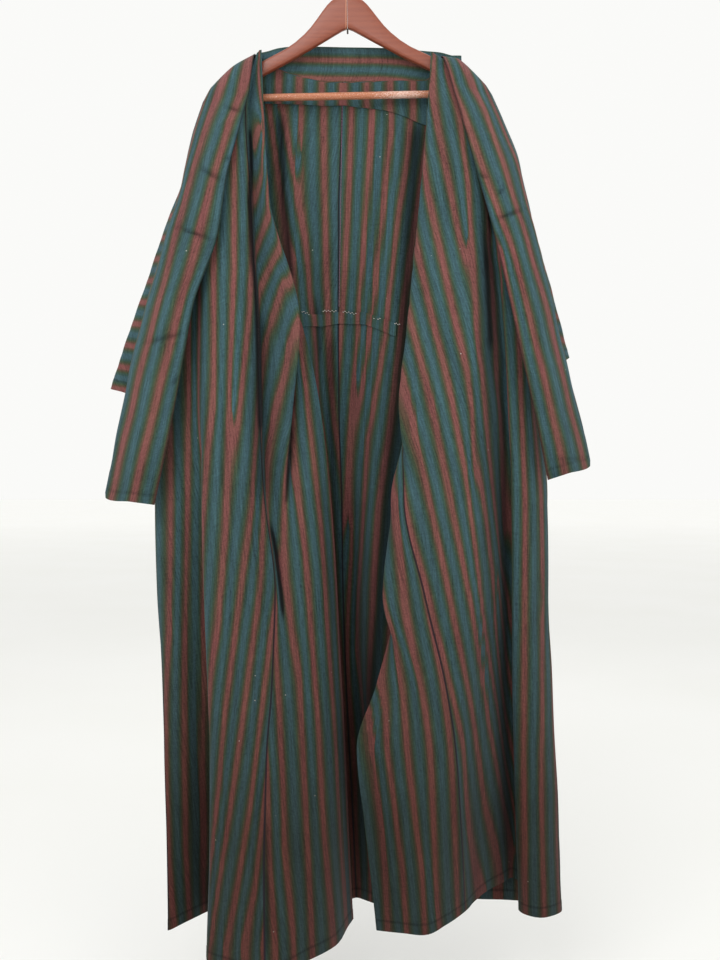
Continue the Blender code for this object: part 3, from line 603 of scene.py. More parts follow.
# How far across its stripes each point lies, in repeats: a smooth field that is a whole number wherever a
# row crosses a seen red stripe. A range is a run of columns that the camera sees, with its stripes' lines
# in their order across the cloth.
def repeatsAcross(grid, ranges):
    arc = arcOf(grid, 1)
    marks = []
    for run, (first, last, lines) in enumerate(ranges):
        found = crossings(grid, arc, first, last, lines)
        same = found[1:, 1] == found[:-1, 1]
        if (found[1:, 0] - found[:-1, 0])[same].sum() < 0:
            found[:, 0] *= -1
        gaps = []
        for row in np.intersect1d(found[:, 1], marks[-1][:, 1]) if marks else ():
            a, b = found[found[:, 1] == row][0], marks[-1][marks[-1][:, 1] == row][-1]
            if a[4] > b[4]:
                gaps.append((a[4] - b[4]) / stripeSettings["repeat"] - (a[0] - b[0]))
        found[:, 0] += round(float(np.median(gaps))) if gaps else 0
        marks.append(np.column_stack([found, np.full(len(found), run)]))
    marks = np.concatenate(marks)
    hidden = [(a[1] + b[0]) // 2 for a, b in zip(ranges[:-1], ranges[1:])]
    return solvedField(arc, arcOf(grid, 0), marks, *slips(arc, marks, hidden))


# Stripe places as the cosine and sine of a whole turn per repeat, so that a whole number of repeats
# between neighbouring points doesn't show. The third number is the distance to the nearest seam.
def turnOf(repeats, seam=stripeSettings["farFromSeam"]):
    angle = 2 * math.pi * repeats
    return np.stack([np.cos(angle), np.sin(angle), np.broadcast_to(seam, angle.shape)], axis=-1)


# Distance to the nearer of the wanted side edges, up to the one that counts as far.
def seamDistance(grid, first, last):
    u = arcOf(grid, 1)
    near = np.full(u.shape, stripeSettings["farFromSeam"])
    if first:
        near = np.minimum(near, u)
    if last:
        near = np.minimum(near, u[:, -1:] - u)
    return near


# Puts points and sets of faces, each set with one number of corners, into a smooth piece on the body.
def finishMesh(name, points, faceSets, material):
    mesh = bpy.data.meshes.new(name)
    mesh.vertices.add(len(points))
    mesh.vertices.foreach_set("co", np.asarray(points, np.float32).ravel())
    corners = np.concatenate([faces.ravel() for faces in faceSets]).astype(np.int32)
    sizes = np.concatenate([np.full(len(faces), faces.shape[1]) for faces in faceSets])
    mesh.loops.add(len(corners))
    mesh.loops.foreach_set("vertex_index", corners)
    mesh.polygons.add(len(sizes))
    mesh.polygons.foreach_set("loop_start", (np.cumsum(sizes) - sizes).astype(np.int32))
    mesh.update(calc_edges=True)
    mesh.polygons.foreach_set("use_smooth", np.ones(len(sizes), bool))
    mesh.materials.append(material)
    piece = bpy.data.objects.new(name, mesh)
    scene.collection.objects.link(piece)
    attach(piece, "root")
    return piece


# A closed thin shell: the grid moved out and in along its normals by half the thickness, joined by a rim
# of quads. UVs are the distances across and down the cloth, in metres.
def clothShell(name, grid, normal, thick, stripe, shade):
    rows, columns = grid.shape[:2]
    n = rows * columns
    half = np.broadcast_to(thick, (rows, columns))[:, :, None] / 2
    points = np.concatenate([(grid + normal * half).reshape(-1, 3), (grid - normal * half).reshape(-1, 3)])
    i = np.arange(n).reshape(rows, columns)
    cells = np.stack([i[:-1, :-1], i[:-1, 1:], i[1:, 1:], i[1:, :-1]], axis=-1).reshape(-1, 4)
    rim = np.concatenate([i[0, :-1], i[:-1, -1], i[-1, :0:-1], i[:0:-1, 0]])
    after = np.roll(rim, -1)
    edge = np.stack([rim, rim + n, after + n, after], axis=1)
    faces = np.concatenate([cells, cells[:, ::-1] + n, edge])
    piece = finishMesh(name, points, [faces], striped)
    mesh = piece.data
    uv = np.stack([arcOf(grid, 1), -arcOf(grid, 0)], axis=-1).reshape(-1, 2)
    layer = mesh.uv_layers.new(name="cloth")
    layer.data.foreach_set("uv", np.concatenate([uv, uv])[faces.ravel()].astype(np.float32).ravel())
    shade = np.broadcast_to(shade, (rows, columns))
    for attribute, kind, key, values in (("stripe", "FLOAT_VECTOR", "vector", stripe),
                                         ("shade", "FLOAT", "value", shade)):
        flat = np.asarray(values, np.float32).ravel()
        mesh.attributes.new(attribute, kind, "POINT").data.foreach_set(key, np.tile(flat, 2))
    onRim = np.zeros(2 * n, bool)
    onRim[rim] = onRim[rim + n] = True
    ends = np.empty(2 * len(mesh.edges), np.int32)
    mesh.edges.foreach_get("vertices", ends)
    ends = ends.reshape(-1, 2)
    sharp = onRim[ends].all(axis=1) & ((ends[:, 0] < n) == (ends[:, 1] < n))
    mesh.edges.foreach_set("use_edge_sharp", sharp)
    return piece


# Striped cloth in place of a solid: a closed thin shell, with the solid hidden.
def sew(name, grid, normal, thick, stripe, shade=0.0):
    piece = clothShell(name + "_cloth", grid, normal, thick, stripe, shade)
    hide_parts(name)


# A colour as read off a screen, turned to linear light: each channel to the power 2.2, times a share.
def screen(tone, share=1.0):
    return (*((np.array(tone) / 255) ** 2.2 * share), 1.0)


# Sets a shader node's inputs, by name or number: to a value, or linked to another node's output.
def feed(tree, made, feeds):
    for key, value in feeds.items():
        socket = made.inputs[int(key[1:])] if key[0] == "i" and key[1:].isdigit() else made.inputs[key]
        if isinstance(value, bpy.types.NodeSocket):
            tree.links.new(value, socket)
        else:
            socket.default_value = value


def node(tree, kind, values=(), **feeds):
    made = tree.nodes.new(kind)
    for key, value in dict(values).items():
        setattr(made, key, value)
    feed(tree, made, feeds)
    return made.outputs


def mathNode(tree, operation, first, second=0.0, clamp=False):
    return node(tree, "ShaderNodeMath", {"operation": operation, "use_clamp": clamp}, i0=first, i1=second)[0]


def plus(tree, first, second, clamp=False):
    return mathNode(tree, "ADD", first, second, clamp)


def minus(tree, first, second):
    return mathNode(tree, "SUBTRACT", first, second)


def times(tree, first, second):
    return mathNode(tree, "MULTIPLY", first, second)


def over(tree, first, second, clamp=False):
    return mathNode(tree, "DIVIDE", first, second, clamp)


# Between two colours by a share, or the first times the second by that share.
def mixed(tree, share, first, second, blend="MIX"):
    return node(tree, "ShaderNodeMix", {"data_type": "RGBA", "blend_type": blend}, i0=share, i6=first,
                i7=second)[2]


def ramp(tree, factor, stops, interpolation="LINEAR"):
    made = tree.nodes.new("ShaderNodeValToRGB")
    made.color_ramp.interpolation = interpolation
    while len(made.color_ramp.elements) < len(stops):
        made.color_ramp.elements.new(0.5)
    for element, (place, colour) in zip(made.color_ramp.elements, stops):
        element.position = place
        element.color = colour
    tree.links.new(factor, made.inputs[0])
    return made.outputs[0]


def noise(tree, place, scale, detail=2.0, roughness=0.5):
    return node(tree, "ShaderNodeTexNoise", Vector=place, Scale=scale, Detail=detail, Roughness=roughness)[0]


# Noise at a place whose three axes are scaled on their own, so that a small number draws it out.
def drawnNoise(tree, place, sizes, detail=2.0, roughness=0.5):
    drawn = node(tree, "ShaderNodeVectorMath", {"operation": "MULTIPLY"}, i0=place, i1=sizes)[0]
    return noise(tree, drawn, 1.0, detail, roughness)


def objectPlace(tree):
    return node(tree, "ShaderNodeTexCoord")["Object"]


def partOf(tree, vector, axis):
    return node(tree, "ShaderNodeSeparateXYZ", Vector=vector)[axis]


def bump(tree, height, strength, distance, **under):
    return node(tree, "ShaderNodeBump", Strength=strength, Distance=distance, Height=height, **under)[0]


def newMaterial(name):
    made = bpy.data.materials.new(name)
    made.use_nodes = True
    return made, made.node_tree, made.node_tree.nodes["Principled BSDF"]


clothLook = {
    "red": (119, 74, 70), "brown": (86, 70, 56), "green": (64, 76, 58), "deepGreen": (56, 80, 74),
    # the near-black deep colour on the next line is painted shade for folds that shut on themselves
    "teal": (61, 88, 95), "lint": (205, 205, 200), "seam": (34, 26, 34), "deep": (10, 9, 12),
    # a half repeat from the middle of the red to the middle of the blue: share of the way and colour
    "stops": ((0.0, "red"), (0.13, "red"), (0.31, "brown"), (0.46, "green"), (0.64, "deepGreen"),
              (0.86, "teal"), (1.0, "teal")),
    # painted shade: part of the lightness rises and falls with the same soft ripple noise that the bump below
    # also raises
    "edgeWander": 0.07, "streaks": 0.75, "grain": 1.0, "rippleShade": 0.6, "patches": 0.16, "value": 0.95,
    "saturation": 0.97, "hue": 0.485, "hueDrift": 0.03, "seamLine": 0.0011, "seamFray": 0.0005,
    "lintSize": 0.085, "lintPick": 0.975, "weave": 0.0008, "sheen": 0.06, "roughness": 0.82,
    # painted shade: a tint multiplied into the colour, stronger towards the hem, stands in for the light
    # falling off there
    "lowShadeTint": (0.43, 0.36, 0.32, 1.0), "lowShadeStart": 0.45, "lowShadeDepth": 0.85,  # darker towards the hem
    # what the fine, broad and cross threads share of a streak, how strong the lint, the seams and the painted
    # shade in the deep folds are, and the strength and height of the ripple bump and the weave's relief
    "streakShares": (0.45, 0.35, 0.20), "lintStrength": 0.55, "seamStrength": 0.85, "foldShadeStrength": 0.96,
    "rippleRelief": (0.7, 0.0036), "weaveRelief": (0.5, 0.0005),
}
# Cells of each noise per metre, across and down the cloth.
clothNoise = {"wander": (260, 26, 1), "fine": (1500, 60, 1), "broad": (420, 14, 1), "weft": (45, 1100, 1),
              "ripple": (34, 2.2, 1), "grain": (430, 230, 1)}


# Striped slubby cloth: the turn of the stripes picks the colour, noise drawn out along the threads
# makes streaks, two crossed waves are the weave, and sparse small cells are lint.
def stripedCloth(name, look):
    made, tree, shader = newMaterial(name)
    turn = node(tree, "ShaderNodeAttribute", {"attribute_name": "stripe"})["Vector"]
    part = node(tree, "ShaderNodeSeparateXYZ", Vector=turn)
    uv = node(tree, "ShaderNodeUVMap", {"uv_map": "cloth"})[0]
    place = objectPlace(tree)
    wander = minus(tree, drawnNoise(tree, uv, clothNoise["wander"], 3.0), 0.5)
    fine = drawnNoise(tree, uv, clothNoise["fine"], 2.0, 0.6)
    broad, weft = drawnNoise(tree, uv, clothNoise["broad"]), drawnNoise(tree, uv, clothNoise["weft"])
    ripple = minus(tree, drawnNoise(tree, uv, clothNoise["ripple"], 3.0), 0.5)
    grain = minus(tree, drawnNoise(tree, uv, clothNoise["grain"], 2.0, 0.7), 0.5)
    patch = minus(tree, noise(tree, place, 5.0, 3.0), 0.5)
    # the colour of the stripe
    share = over(tree, mathNode(tree, "ABSOLUTE", mathNode(tree, "ARCTAN2", part["Y"], part["X"])), math.pi)
    share = plus(tree, share, times(tree, wander, look["edgeWander"] * 2), clamp=True)
    colour = ramp(tree, share, [(stop, screen(look[tone])) for stop, tone in look["stops"]], "EASE")
    # its lightness, with painted shade rising and falling along the soft ripple bump
    fineShare, broadShare, weftShare = look["streakShares"]
    streak = plus(tree, times(tree, fine, fineShare), times(tree, broad, broadShare))
    streak = minus(tree, plus(tree, streak, times(tree, weft, weftShare)), 0.5)
    light = plus(tree, times(tree, patch, look["patches"] * 2), times(tree, streak, look["streaks"] * 4))
    light = plus(tree, light, times(tree, ripple, look["rippleShade"]))
    light = plus(tree, light, times(tree, grain, look["grain"]))
    drift = plus(tree, times(tree, noise(tree, place, 11.0), look["hueDrift"]), look["hue"])
    colour = node(tree, "ShaderNodeHueSaturation", Hue=drift, Saturation=look["saturation"],
                  Value=plus(tree, light, look["value"]), Color=colour)[0]
    # lint, painted shade darkening the cloth towards the hem, the seams' shadow and painted shade in the
    # folds that shut on themselves, with the dark line of stitches along the hem
    cells = node(tree, "ShaderNodeTexVoronoi", Vector=place, Scale=95.0)
    lint = times(tree, mathNode(tree, "LESS_THAN", cells["Distance"], look["lintSize"]),
                 mathNode(tree, "GREATER_THAN", partOf(tree, cells["Color"], "X"), look["lintPick"]))
    colour = mixed(tree, times(tree, lint, look["lintStrength"]), colour, screen(look["lint"]))
    # painted shade towards the hem, growing with the square of the height below its start
    low = over(tree, plus(tree, partOf(tree, place, "Z"), look["lowShadeStart"]), -look["lowShadeDepth"], clamp=True)
    colour = mixed(tree, mathNode(tree, "POWER", low, 2.0), colour, look["lowShadeTint"], "MULTIPLY")
    fray = minus(tree, part["Z"], times(tree, fine, look["seamFray"]))
    sewn = times(tree, mathNode(tree, "LESS_THAN", fray, look["seamLine"]), look["seamStrength"])
    colour = mixed(tree, sewn, colour, screen(look["seam"]))
    # painted shade: the shade attribute darkens the colour to near-black in folds that shut on themselves, in
    # the sleeves' creases and along their inner edges, and draws the dark line of stitches along the hem
    shade = node(tree, "ShaderNodeAttribute", {"attribute_name": "shade"})["Fac"]
    colour = mixed(tree, times(tree, shade, look["foldShadeStrength"]), colour, screen(look["deep"]))
    # the weave's relief over the soft ripple bump
    warp, weave = (node(tree, "ShaderNodeTexWave", {"bands_direction": axis}, Vector=uv,
                        Scale=math.pi / 10 / look["weave"], Distortion=0.4)["Fac"] for axis in "XY")
    height = plus(tree, times(tree, times(tree, warp, weave), 0.5), times(tree, fine, 0.9))
    relief = bump(tree, ripple, *look["rippleRelief"], Normal=bump(tree, height, *look["weaveRelief"]))
    rough = plus(tree, times(tree, fine, 0.12), look["roughness"] - 0.06)
    feed(tree, shader, {
        "Base Color": colour, "Normal": relief, "Roughness": rough, "Specular IOR Level": 0.15,
        "Sheen Weight": look["sheen"], "Sheen Roughness": 0.5, "Sheen Tint": (0.85, 0.9, 1.0, 1.0)})
    return made


# Cells of the rings, the pores and the flakes per metre along each axis, how far the rings bend, and what
# the rings and the pores add to the grain. A relief is its strength and height.
woodLook = {
    "light": (152, 80, 54), "dark": (122, 58, 38), "glue": (222, 160, 124), "glueHalf": 0.0006,
    "glueStrength": 0.5, "rings": (5, 90, 120), "ringSize": 0.3, "ringBend": 9.0, "ringShare": 0.12,
    "pores": (60, 1400, 1400), "poreShare": 0.5, "relief": (0.25, 0.0004), "roughness": 0.36, "coat": 0.25,
}
barLook = {
    "wood": (196, 126, 90), "dark": (160, 92, 64), "worn": (222, 186, 172), "wornPlace": 0.085,
    "wornReach": 0.05, "wornGain": 0.18, "flakeEdge": (0.58, 0.64), "pores": (50, 1200, 1200),
    "flakes": (420, 900, 900), "relief": (0.3, 0.0003), "roughness": 0.45,
}


# Stained wood: rings are a wave along the arm bent by noise, with fine pores drawn out along it and a
# pale line of glue at the middle.
def stainedWood(name, look):
    made, tree, shader = newMaterial(name)
    place = objectPlace(tree)
    drawn = node(tree, "ShaderNodeVectorMath", {"operation": "MULTIPLY"}, i0=place, i1=look["rings"])[0]
    rings = node(tree, "ShaderNodeTexWave", {"bands_direction": "Z"}, Vector=drawn, Scale=look["ringSize"],
                 Distortion=look["ringBend"], Detail=4.0)["Fac"]
    pores = drawnNoise(tree, place, look["pores"], 3.0, 0.6)
    grain = plus(tree, times(tree, rings, look["ringShare"]), times(tree, pores, look["poreShare"]))
    colour = ramp(tree, grain, [(0.1, screen(look["dark"])), (0.6, screen(look["light"]))])
    side = mathNode(tree, "ABSOLUTE", partOf(tree, place, "X"))
    line = times(tree, mathNode(tree, "LESS_THAN", side, look["glueHalf"]), look["glueStrength"])
    feed(tree, shader, {
        "Base Color": mixed(tree, line, colour, screen(look["glue"])),
        "Normal": bump(tree, pores, *look["relief"]), "Coat Weight": look["coat"], "Coat Roughness": 0.25,
        "Roughness": plus(tree, times(tree, pores, 0.2), look["roughness"] - 0.1)})
    return made


# The bar's paler wood, with finish worn through to a whitish ground in flakes on its right third.
def wornBar(name, look):
    made, tree, shader = newMaterial(name)
    place = objectPlace(tree)
    pores = drawnNoise(tree, place, look["pores"], 3.0, 0.6)
    colour = ramp(tree, pores, [(0.3, screen(look["dark"])), (0.7, screen(look["wood"]))])
    away = mathNode(tree, "ABSOLUTE", minus(tree, partOf(tree, place, "X"), look["wornPlace"]))
    zone = mathNode(tree, "SUBTRACT", 1.0, over(tree, away, look["wornReach"]), clamp=True)
    flakes = drawnNoise(tree, place, look["flakes"], 4.0, 0.7)
    flakes = plus(tree, flakes, times(tree, zone, look["wornGain"]))
    start, end = look["flakeEdge"]
    worn = ramp(tree, flakes, [(start, (0, 0, 0, 1)), (end, (1, 1, 1, 1))])
    feed(tree, shader, {
        "Base Color": mixed(tree, worn, colour, screen(look["worn"])),
        "Normal": bump(tree, flakes, *look["relief"]),
        "Roughness": plus(tree, times(tree, worn, 0.3), look["roughness"] - 0.05)})
    return made


# Drawn steel wire: fine lines round it from noise, which roughen the polish here and there.
def wireSteel(name, tone, roughness):
    made, tree, shader = newMaterial(name)
    marks = noise(tree, objectPlace(tree), 380.0, 4.0, 0.6)
    feed(tree, shader, {
        "Base Color": ramp(tree, marks, [(0.35, screen(tone, 0.72)), (0.6, screen(tone))]),
        "Roughness": plus(tree, times(tree, marks, 0.3), roughness - 0.12),
        "Normal": bump(tree, marks, 0.15, 0.0001), "Metallic": 1.0})
    return made


# Sewing thread: a twist drawn as slanted waves.
def threadFinish(name, tone):
    made, tree, shader = newMaterial(name)
    twist = node(tree, "ShaderNodeTexWave", {"bands_direction": "DIAGONAL"}, Vector=objectPlace(tree),
                 Scale=500.0)["Fac"]
    feed(tree, shader, {
        "Base Color": ramp(tree, twist, [(0.1, screen(tone, 0.7)), (0.6, screen(tone))]),
        "Normal": bump(tree, twist, 0.4, 0.0002), "Roughness": 0.7, "Sheen Weight": 0.3})
    return made


striped = stripedCloth("striped cloth", clothLook)
armWood = stainedWood("stained wood", woodLook)
barWood = wornBar("worn bar wood", barLook)
hookSteel = wireSteel("hook steel", (205, 203, 200), 0.3)
threadSteel = wireSteel("dark steel", (88, 84, 80), 0.5)
whiteThread = threadFinish("white thread", (214, 212, 206))
purpleThread = threadFinish("purple thread", (120, 84, 108))
print("materials made")

# Rows in millimetres down the cloth: the steps between them, finer as far as the top band, the number in
# the hem's band, where they begin to share out what is left and over how far, and half the ridge's width.
bodySettings = {"rowStep": 4.0, "topStep": 2.0, "topBand": 52, "hemBand": 20, "hemRows": 14, "evenFrom": 20,
                "evenOver": 120, "ridge": 0.8, "acrossFactor": 3}
# In metres: the cloth's thickness, single and at its turned-up hem, the hem's height, how far the step to it
# reaches up and down, and the width of its stitch line. Then that line's strength, and how softly a crease
# ends where the cloth turns away.
clothSettings = {"single": 0.0009, "hem": 0.0017, "turnUp": 0.015, "stepUp": 0.0015, "stepDown": 0.0005,
                 "hemLine": 0.0012, "hemShade": 0.45, "softTurn": 0.04}

# Soft creases: seen points (x, z) along each, then width and height in mm, with troughs below zero.
bodyCreases = {
    ("right", "frontFold", "stripFold"): (
        (((20, -1142), (40, -1225), (63, -1311), (96, -1381)), 3.2, -1.3),
        (((95, -591), (113, -651), (124, -697), (133, -755), (150, -848)), 3.0, -1.6),
    ),
    ("left", "outerFold", "collarSeam"): (
        (((-170, -528), (-176, -636), (-181, -727), (-187, -835)), 5, -2.2),
        (((-129, -1271), (-141, -1347), (-167, -1442), (-190, -1539)), 3, -1.5),
    ),
    ("left", "sideSeam", "stripDip"): ((((-273, -996), (-260, -1072)), 4, -1.6),),
    ("left", "backDip", "backCrest"): (
        (((-104, -228), (-101, -308), (-95, -424), (-81, -501)), 6, -2.0),
        (((-37, -528), (-32, -682), (-25, -835)), 6, -2.0),
    ),
}
# Painted shade as dark lines where the cloth shuts on itself: seen points, width in mm and strength.
paintedShadeLines = {
    ("left", "faceInner", "collarFold"): (
        (((-147, -253), (-145, -314), (-147, -375), (-144, -437), (-142, -475), (-138, -528), (-136, -590),
          (-134, -650), (-131, -735)), 2.4, 1.7),
        (((-116, -858), (-114, -880), (-107, -915), (-100, -971), (-94, -1030)), 2.6, 1.3),
        (((-130, -530), (-131, -640), (-130, -760), (-124, -850)), 10, 0.55),
        (((-121, -1309), (-121, -1400), (-120, -1535)), 2.4, 0.5),
    ),
    ("left", "collarFold", "collarOuter"): (
        (((-75, -571), (-81, -674), (-86, -758), (-93, -835), (-110, -858)), 3.0, 1.1),
    ),
    ("left", "backDip", "backMiddle"): (
        (((-101, -225), (-99, -290), (-96, -369), (-87, -474), (-80, -520)), 5, 1.0),
        (((-50, -510), (-44, -570), (-38, -640)), 4, 0.6),
    ),
    ("right", "centreSeam", "backMiddle"): (
        (((112, -235), (109, -265), (102, -359), (95, -474), (90, -578), (84, -640), (68, -770), (54, -960),
          (46, -1056), (32, -1200)), 9, 0.8),
    ),
    ("left", "centreSeam", "backDip"): (
        (((-22, -560), (-24, -680), (-24, -835), (-21, -1048), (-18, -1300)), 9, 0.6),
    ),
    ("right", "stripFold", "ridge"): (
        (((215, -420), (228, -700), (232, -900), (236, -1100), (246, -1400)), 12, 0.4),
        (((206, -300), (212, -420), (222, -620)), 3, 0.7),
    ),
    ("right", "frontFold", "face"): ((((75, -840), (88, -960), (108, -1090)), 2.2, 0.6),),
    ("left", "stripDip", "strip"): ((((-262, -640), (-255, -900), (-252, -1200)), 6, 0.35),),
    ("right", "backShoulder", "backMiddle"): ((((116, -215), (128, -232), (140, -255)), 5, 0.8),),
    ("left", "outerFold", "faceOuter"): (
        (((-172, -420), (-178, -560), (-184, -700), (-190, -830)), 2.6, 0.6),
    ),
}
# Long shallow waves over the whole body: length across, length down, phase and height, in metres and
# radians. They begin between two distances down the cloth.
bodyWaves = ((0.105, 0.95, 0.6, 0.0006), (0.061, -0.62, 2.1, 0.0004), (0.23, 0.41, 4.0, 0.0007))
waveStart = (0.02, 0.12)

# A panel: its side, first and last fold, and its seen runs, each from one fold to another with its stripes.
panels = {
    "back_left": ("left", "centreSeam", "sideSeam", (("backMiddle", "centreSeam", "backLeft"),)),
    "back_right": ("right", "centreSeam", "sideSeam", (("centreSeam", "backMiddle", "backRight"),)),
    "front_left": ("left", "sideSeam", "collarSeam",
                   (("collarSeam", "outerFold", "frontLeft"), ("stripDip", "sideSeam", "stripLeft"))),
    "front_right": ("right", "sideSeam", "collarSeam",
                    (("sideSeam", "stripEdge", "stripRight"), ("stripFold", "frontFold", "frontRight"))),
    "collar_left": ("left", "collarSeam", "collarEdge", (
        ("collarEdge", "collarSeam", "collarLeft"), ("collarFold", "crease", "collarLeftInner"))),
    "collar_right": ("right", "collarSeam", "collarEdge", (("collarSeam", "collarEdge", "collarRight"),)),
}


# Row distances split evenly until no gap is wider than its step, in millimetres from the top.
def splitRows(rows):
    band = rows[-1] - bodySettings["hemBand"]
    parts = []
    for a, b in zip(rows[:-1], (*rows[1:-1], band)):
        step = bodySettings["topStep" if b <= bodySettings["topBand"] else "rowStep"]
        parts.append(np.linspace(a, b, math.ceil((b - a) / step), endpoint=False))
    return np.concatenate(parts + [np.linspace(band, rows[-1], bodySettings["hemRows"])])


# The height of each row on each fold: near the top the rows keep their distance from it, and lower down
# they share out what is left as far as the hem.
def rowHeights(folds, rows):
    tops = np.array([fold[1] for fold in folds], float)
    hems = np.array([fold[2] for fold in folds], float)
    down = rows[:, None]
    even = tops + (hems - tops) * down / down[-1]
    blend = np.clip((down - bodySettings["evenFrom"]) / bodySettings["evenOver"], 0, 1)
    return ((tops - down) * (1 - blend) + even * blend) * mm


# The fold lines at the heights z, a column for each fold. Near its top a fold rolls back over the
# hanger's arm on a quarter circle.
def foldLines(folds, z):
    points = np.empty(z.shape + (3,))
    for j, (name, top, hem, roll, steps, xs, ys) in enumerate(folds):
        x, y = along(heights, xs, z[:, j] / mm), along(heights, ys, z[:, j] / mm)
        if roll:
            share = np.clip((top - z[:, j] / mm) / roll, 0, 1)
            ridge = math.copysign(bodySettings["ridge"], y.mean()) if name != "sideSeam" else 0
            y = ridge + (y - ridge) * np.sqrt(1 - (1 - share) ** 2)
        points[:, j] = np.stack([x * mm, y * mm, z[:, j]], axis=1)
    return points


# The whole body as one sheet, from the left collar's edge round the back to the right collar's edge, and
# the column of each fold in it.
def bodySheet():
    folds = leftFolds[:0:-1] + rightFolds
    steps = [fold[4] * bodySettings["acrossFactor"] for fold in leftFolds[-2::-1] + rightFolds[:-1]]
    rows = splitRows(bodyRows)
    grid = across(foldLines(folds, rowHeights(folds, rows)), steps)
    starts = np.concatenate([[0], np.cumsum(steps)])
    columns = {}
    for k, fold in enumerate(folds):
        columns["left" if k < len(leftFolds) - 1 else "right", fold[0]] = int(starts[k])
    columns["left", "centreSeam"] = columns["right", "centreSeam"]
    return grid, columns


def spanOf(columns, side, first, last):
    a, b = sorted((columns[side, first], columns[side, last]))
    return slice(a, b + 1)


# One on a span of columns and none outside it, fading over the given number of columns at each end.
def faded(columns, key, width, count):
    part = spanOf(columns, *key)
    column = np.arange(count)
    fade = smooth(part.start - 1, part.start + width, column)
    return fade * smooth(part.stop, part.stop - width - 1, column)


# Moves a sheet along its normals, towards the viewer for heights above zero: the height times the
# normal's share that faces the viewer, over the root of its square plus the soft turn.
def raised(grid, height):
    normal = normalsOf(grid)
    facing = -normal[:, :, 1]
    return grid + normal * (height * facing / np.sqrt(facing**2 + clothSettings["softTurn"]))[:, :, None]


# Adds the long waves, sines of the distances across and down, and the creases, each on its own columns.
def creasedBody(grid, columns):
    seenX, seenZ = seenPlace(grid)
    u, v = arcOf(grid, 1), arcOf(grid, 0)
    height = np.zeros(u.shape)
    for wide, tall, phase, size in bodyWaves:
        height += size * np.sin(2 * math.pi * (u / wide + v / tall) + phase)
    height *= smooth(*waveStart, v)
    for key, creases in bodyCreases.items():
        height += creaseHeight(seenX, seenZ, creases) * mm * faded(columns, key, 3, grid.shape[1])
    return raised(grid, height)


# Painted shade where the cloth shuts on itself, each line on its own columns, and the dark line of stitches
# along the hem.
def shadedBody(grid, columns):
    seenX, seenZ = seenPlace(grid)
    shade = hemLine(grid)
    for key, lines in paintedShadeLines.items():
        dark = np.clip(creaseHeight(seenX, seenZ, lines), 0, 1)
        shade = np.maximum(shade, dark * faded(columns, key, 2, grid.shape[1]))
    return shade


# A thin dark line of stitches where the turned-up hem ends: a bell curve of the distance from it.
def hemLine(grid):
    down = arcOf(grid, 0)
    away = down[-1] - down - clothSettings["turnUp"]
    return clothSettings["hemShade"] * bell(away, clothSettings["hemLine"])


# The cloth's thickness down a panel: single, then double over the turned-up hem.
def hemThickness(grid):
    down = arcOf(grid, 0)
    start = clothSettings["turnUp"] + clothSettings["stepUp"]
    turn = smooth(start, clothSettings["turnUp"] - clothSettings["stepDown"], down[-1] - down)
    return clothSettings["single"] + (clothSettings["hem"] - clothSettings["single"]) * turn


# Cuts the body's sheet into its panels at the seams, each with its own field of stripes.
def buildBody():
    plain, columns = bodySheet()
    sheet = creasedBody(plain, columns)
    normal = normalsOf(sheet)
    shade = shadedBody(plain, columns)
    fields = {}
    for name, (side, first, last, seen) in panels.items():
        part = spanOf(columns, side, first, last)
        ranges = []
        for begin, end, lines in seen:
            run = spanOf(columns, side, begin, end)
            ranges.append((run.start - part.start, run.stop - 1 - part.start, stripeTracks[lines]))
        fields[name] = repeatsAcross(plain[:, part], ranges)
        sewn = [name != "collar_" + end for end in ("left", "right")]  # a collar's outer edge is free
        cut = sheet[:, part]
        turn = turnOf(fields[name], seamDistance(cut, *sewn))
        sew(name, cut, normal[:, part], hemThickness(cut), turn, shade[:, part])
    print("body:", sheet.shape)
    return sheet, normal, columns, fields


# Straight lines down the backing at the seen places of its red stripes.
backingLines = tuple(((-100, x), (-330, x)) for x in (-133, -103, -72, -37, -3, 32, 67, 102.5, 134))
# Layers inside the back: the fold each ends at, its upper and lower edge as x and z, its rows, its own
# thickness and its solid's, and the seen lines of its stripes, where they aren't the back's own.
layers = {
    "shoulder_backing": ("backMiddle", ((-200, 0), (200, 0)), backingEdge, 26, 0.0009, 0.0012, backingLines),
    "waist_tuck": ("backCrest", tuckTop, tuckFoot, 8, 0.0012, 0.0016, None),
}
# The gap between a layer and the back, how far below the back's edge it starts, in metres, and the power that
# gathers its rows at the top.
layerSettings = {"gap": 0.0005, "belowEdge": 0.0015, "gather": 1.4}


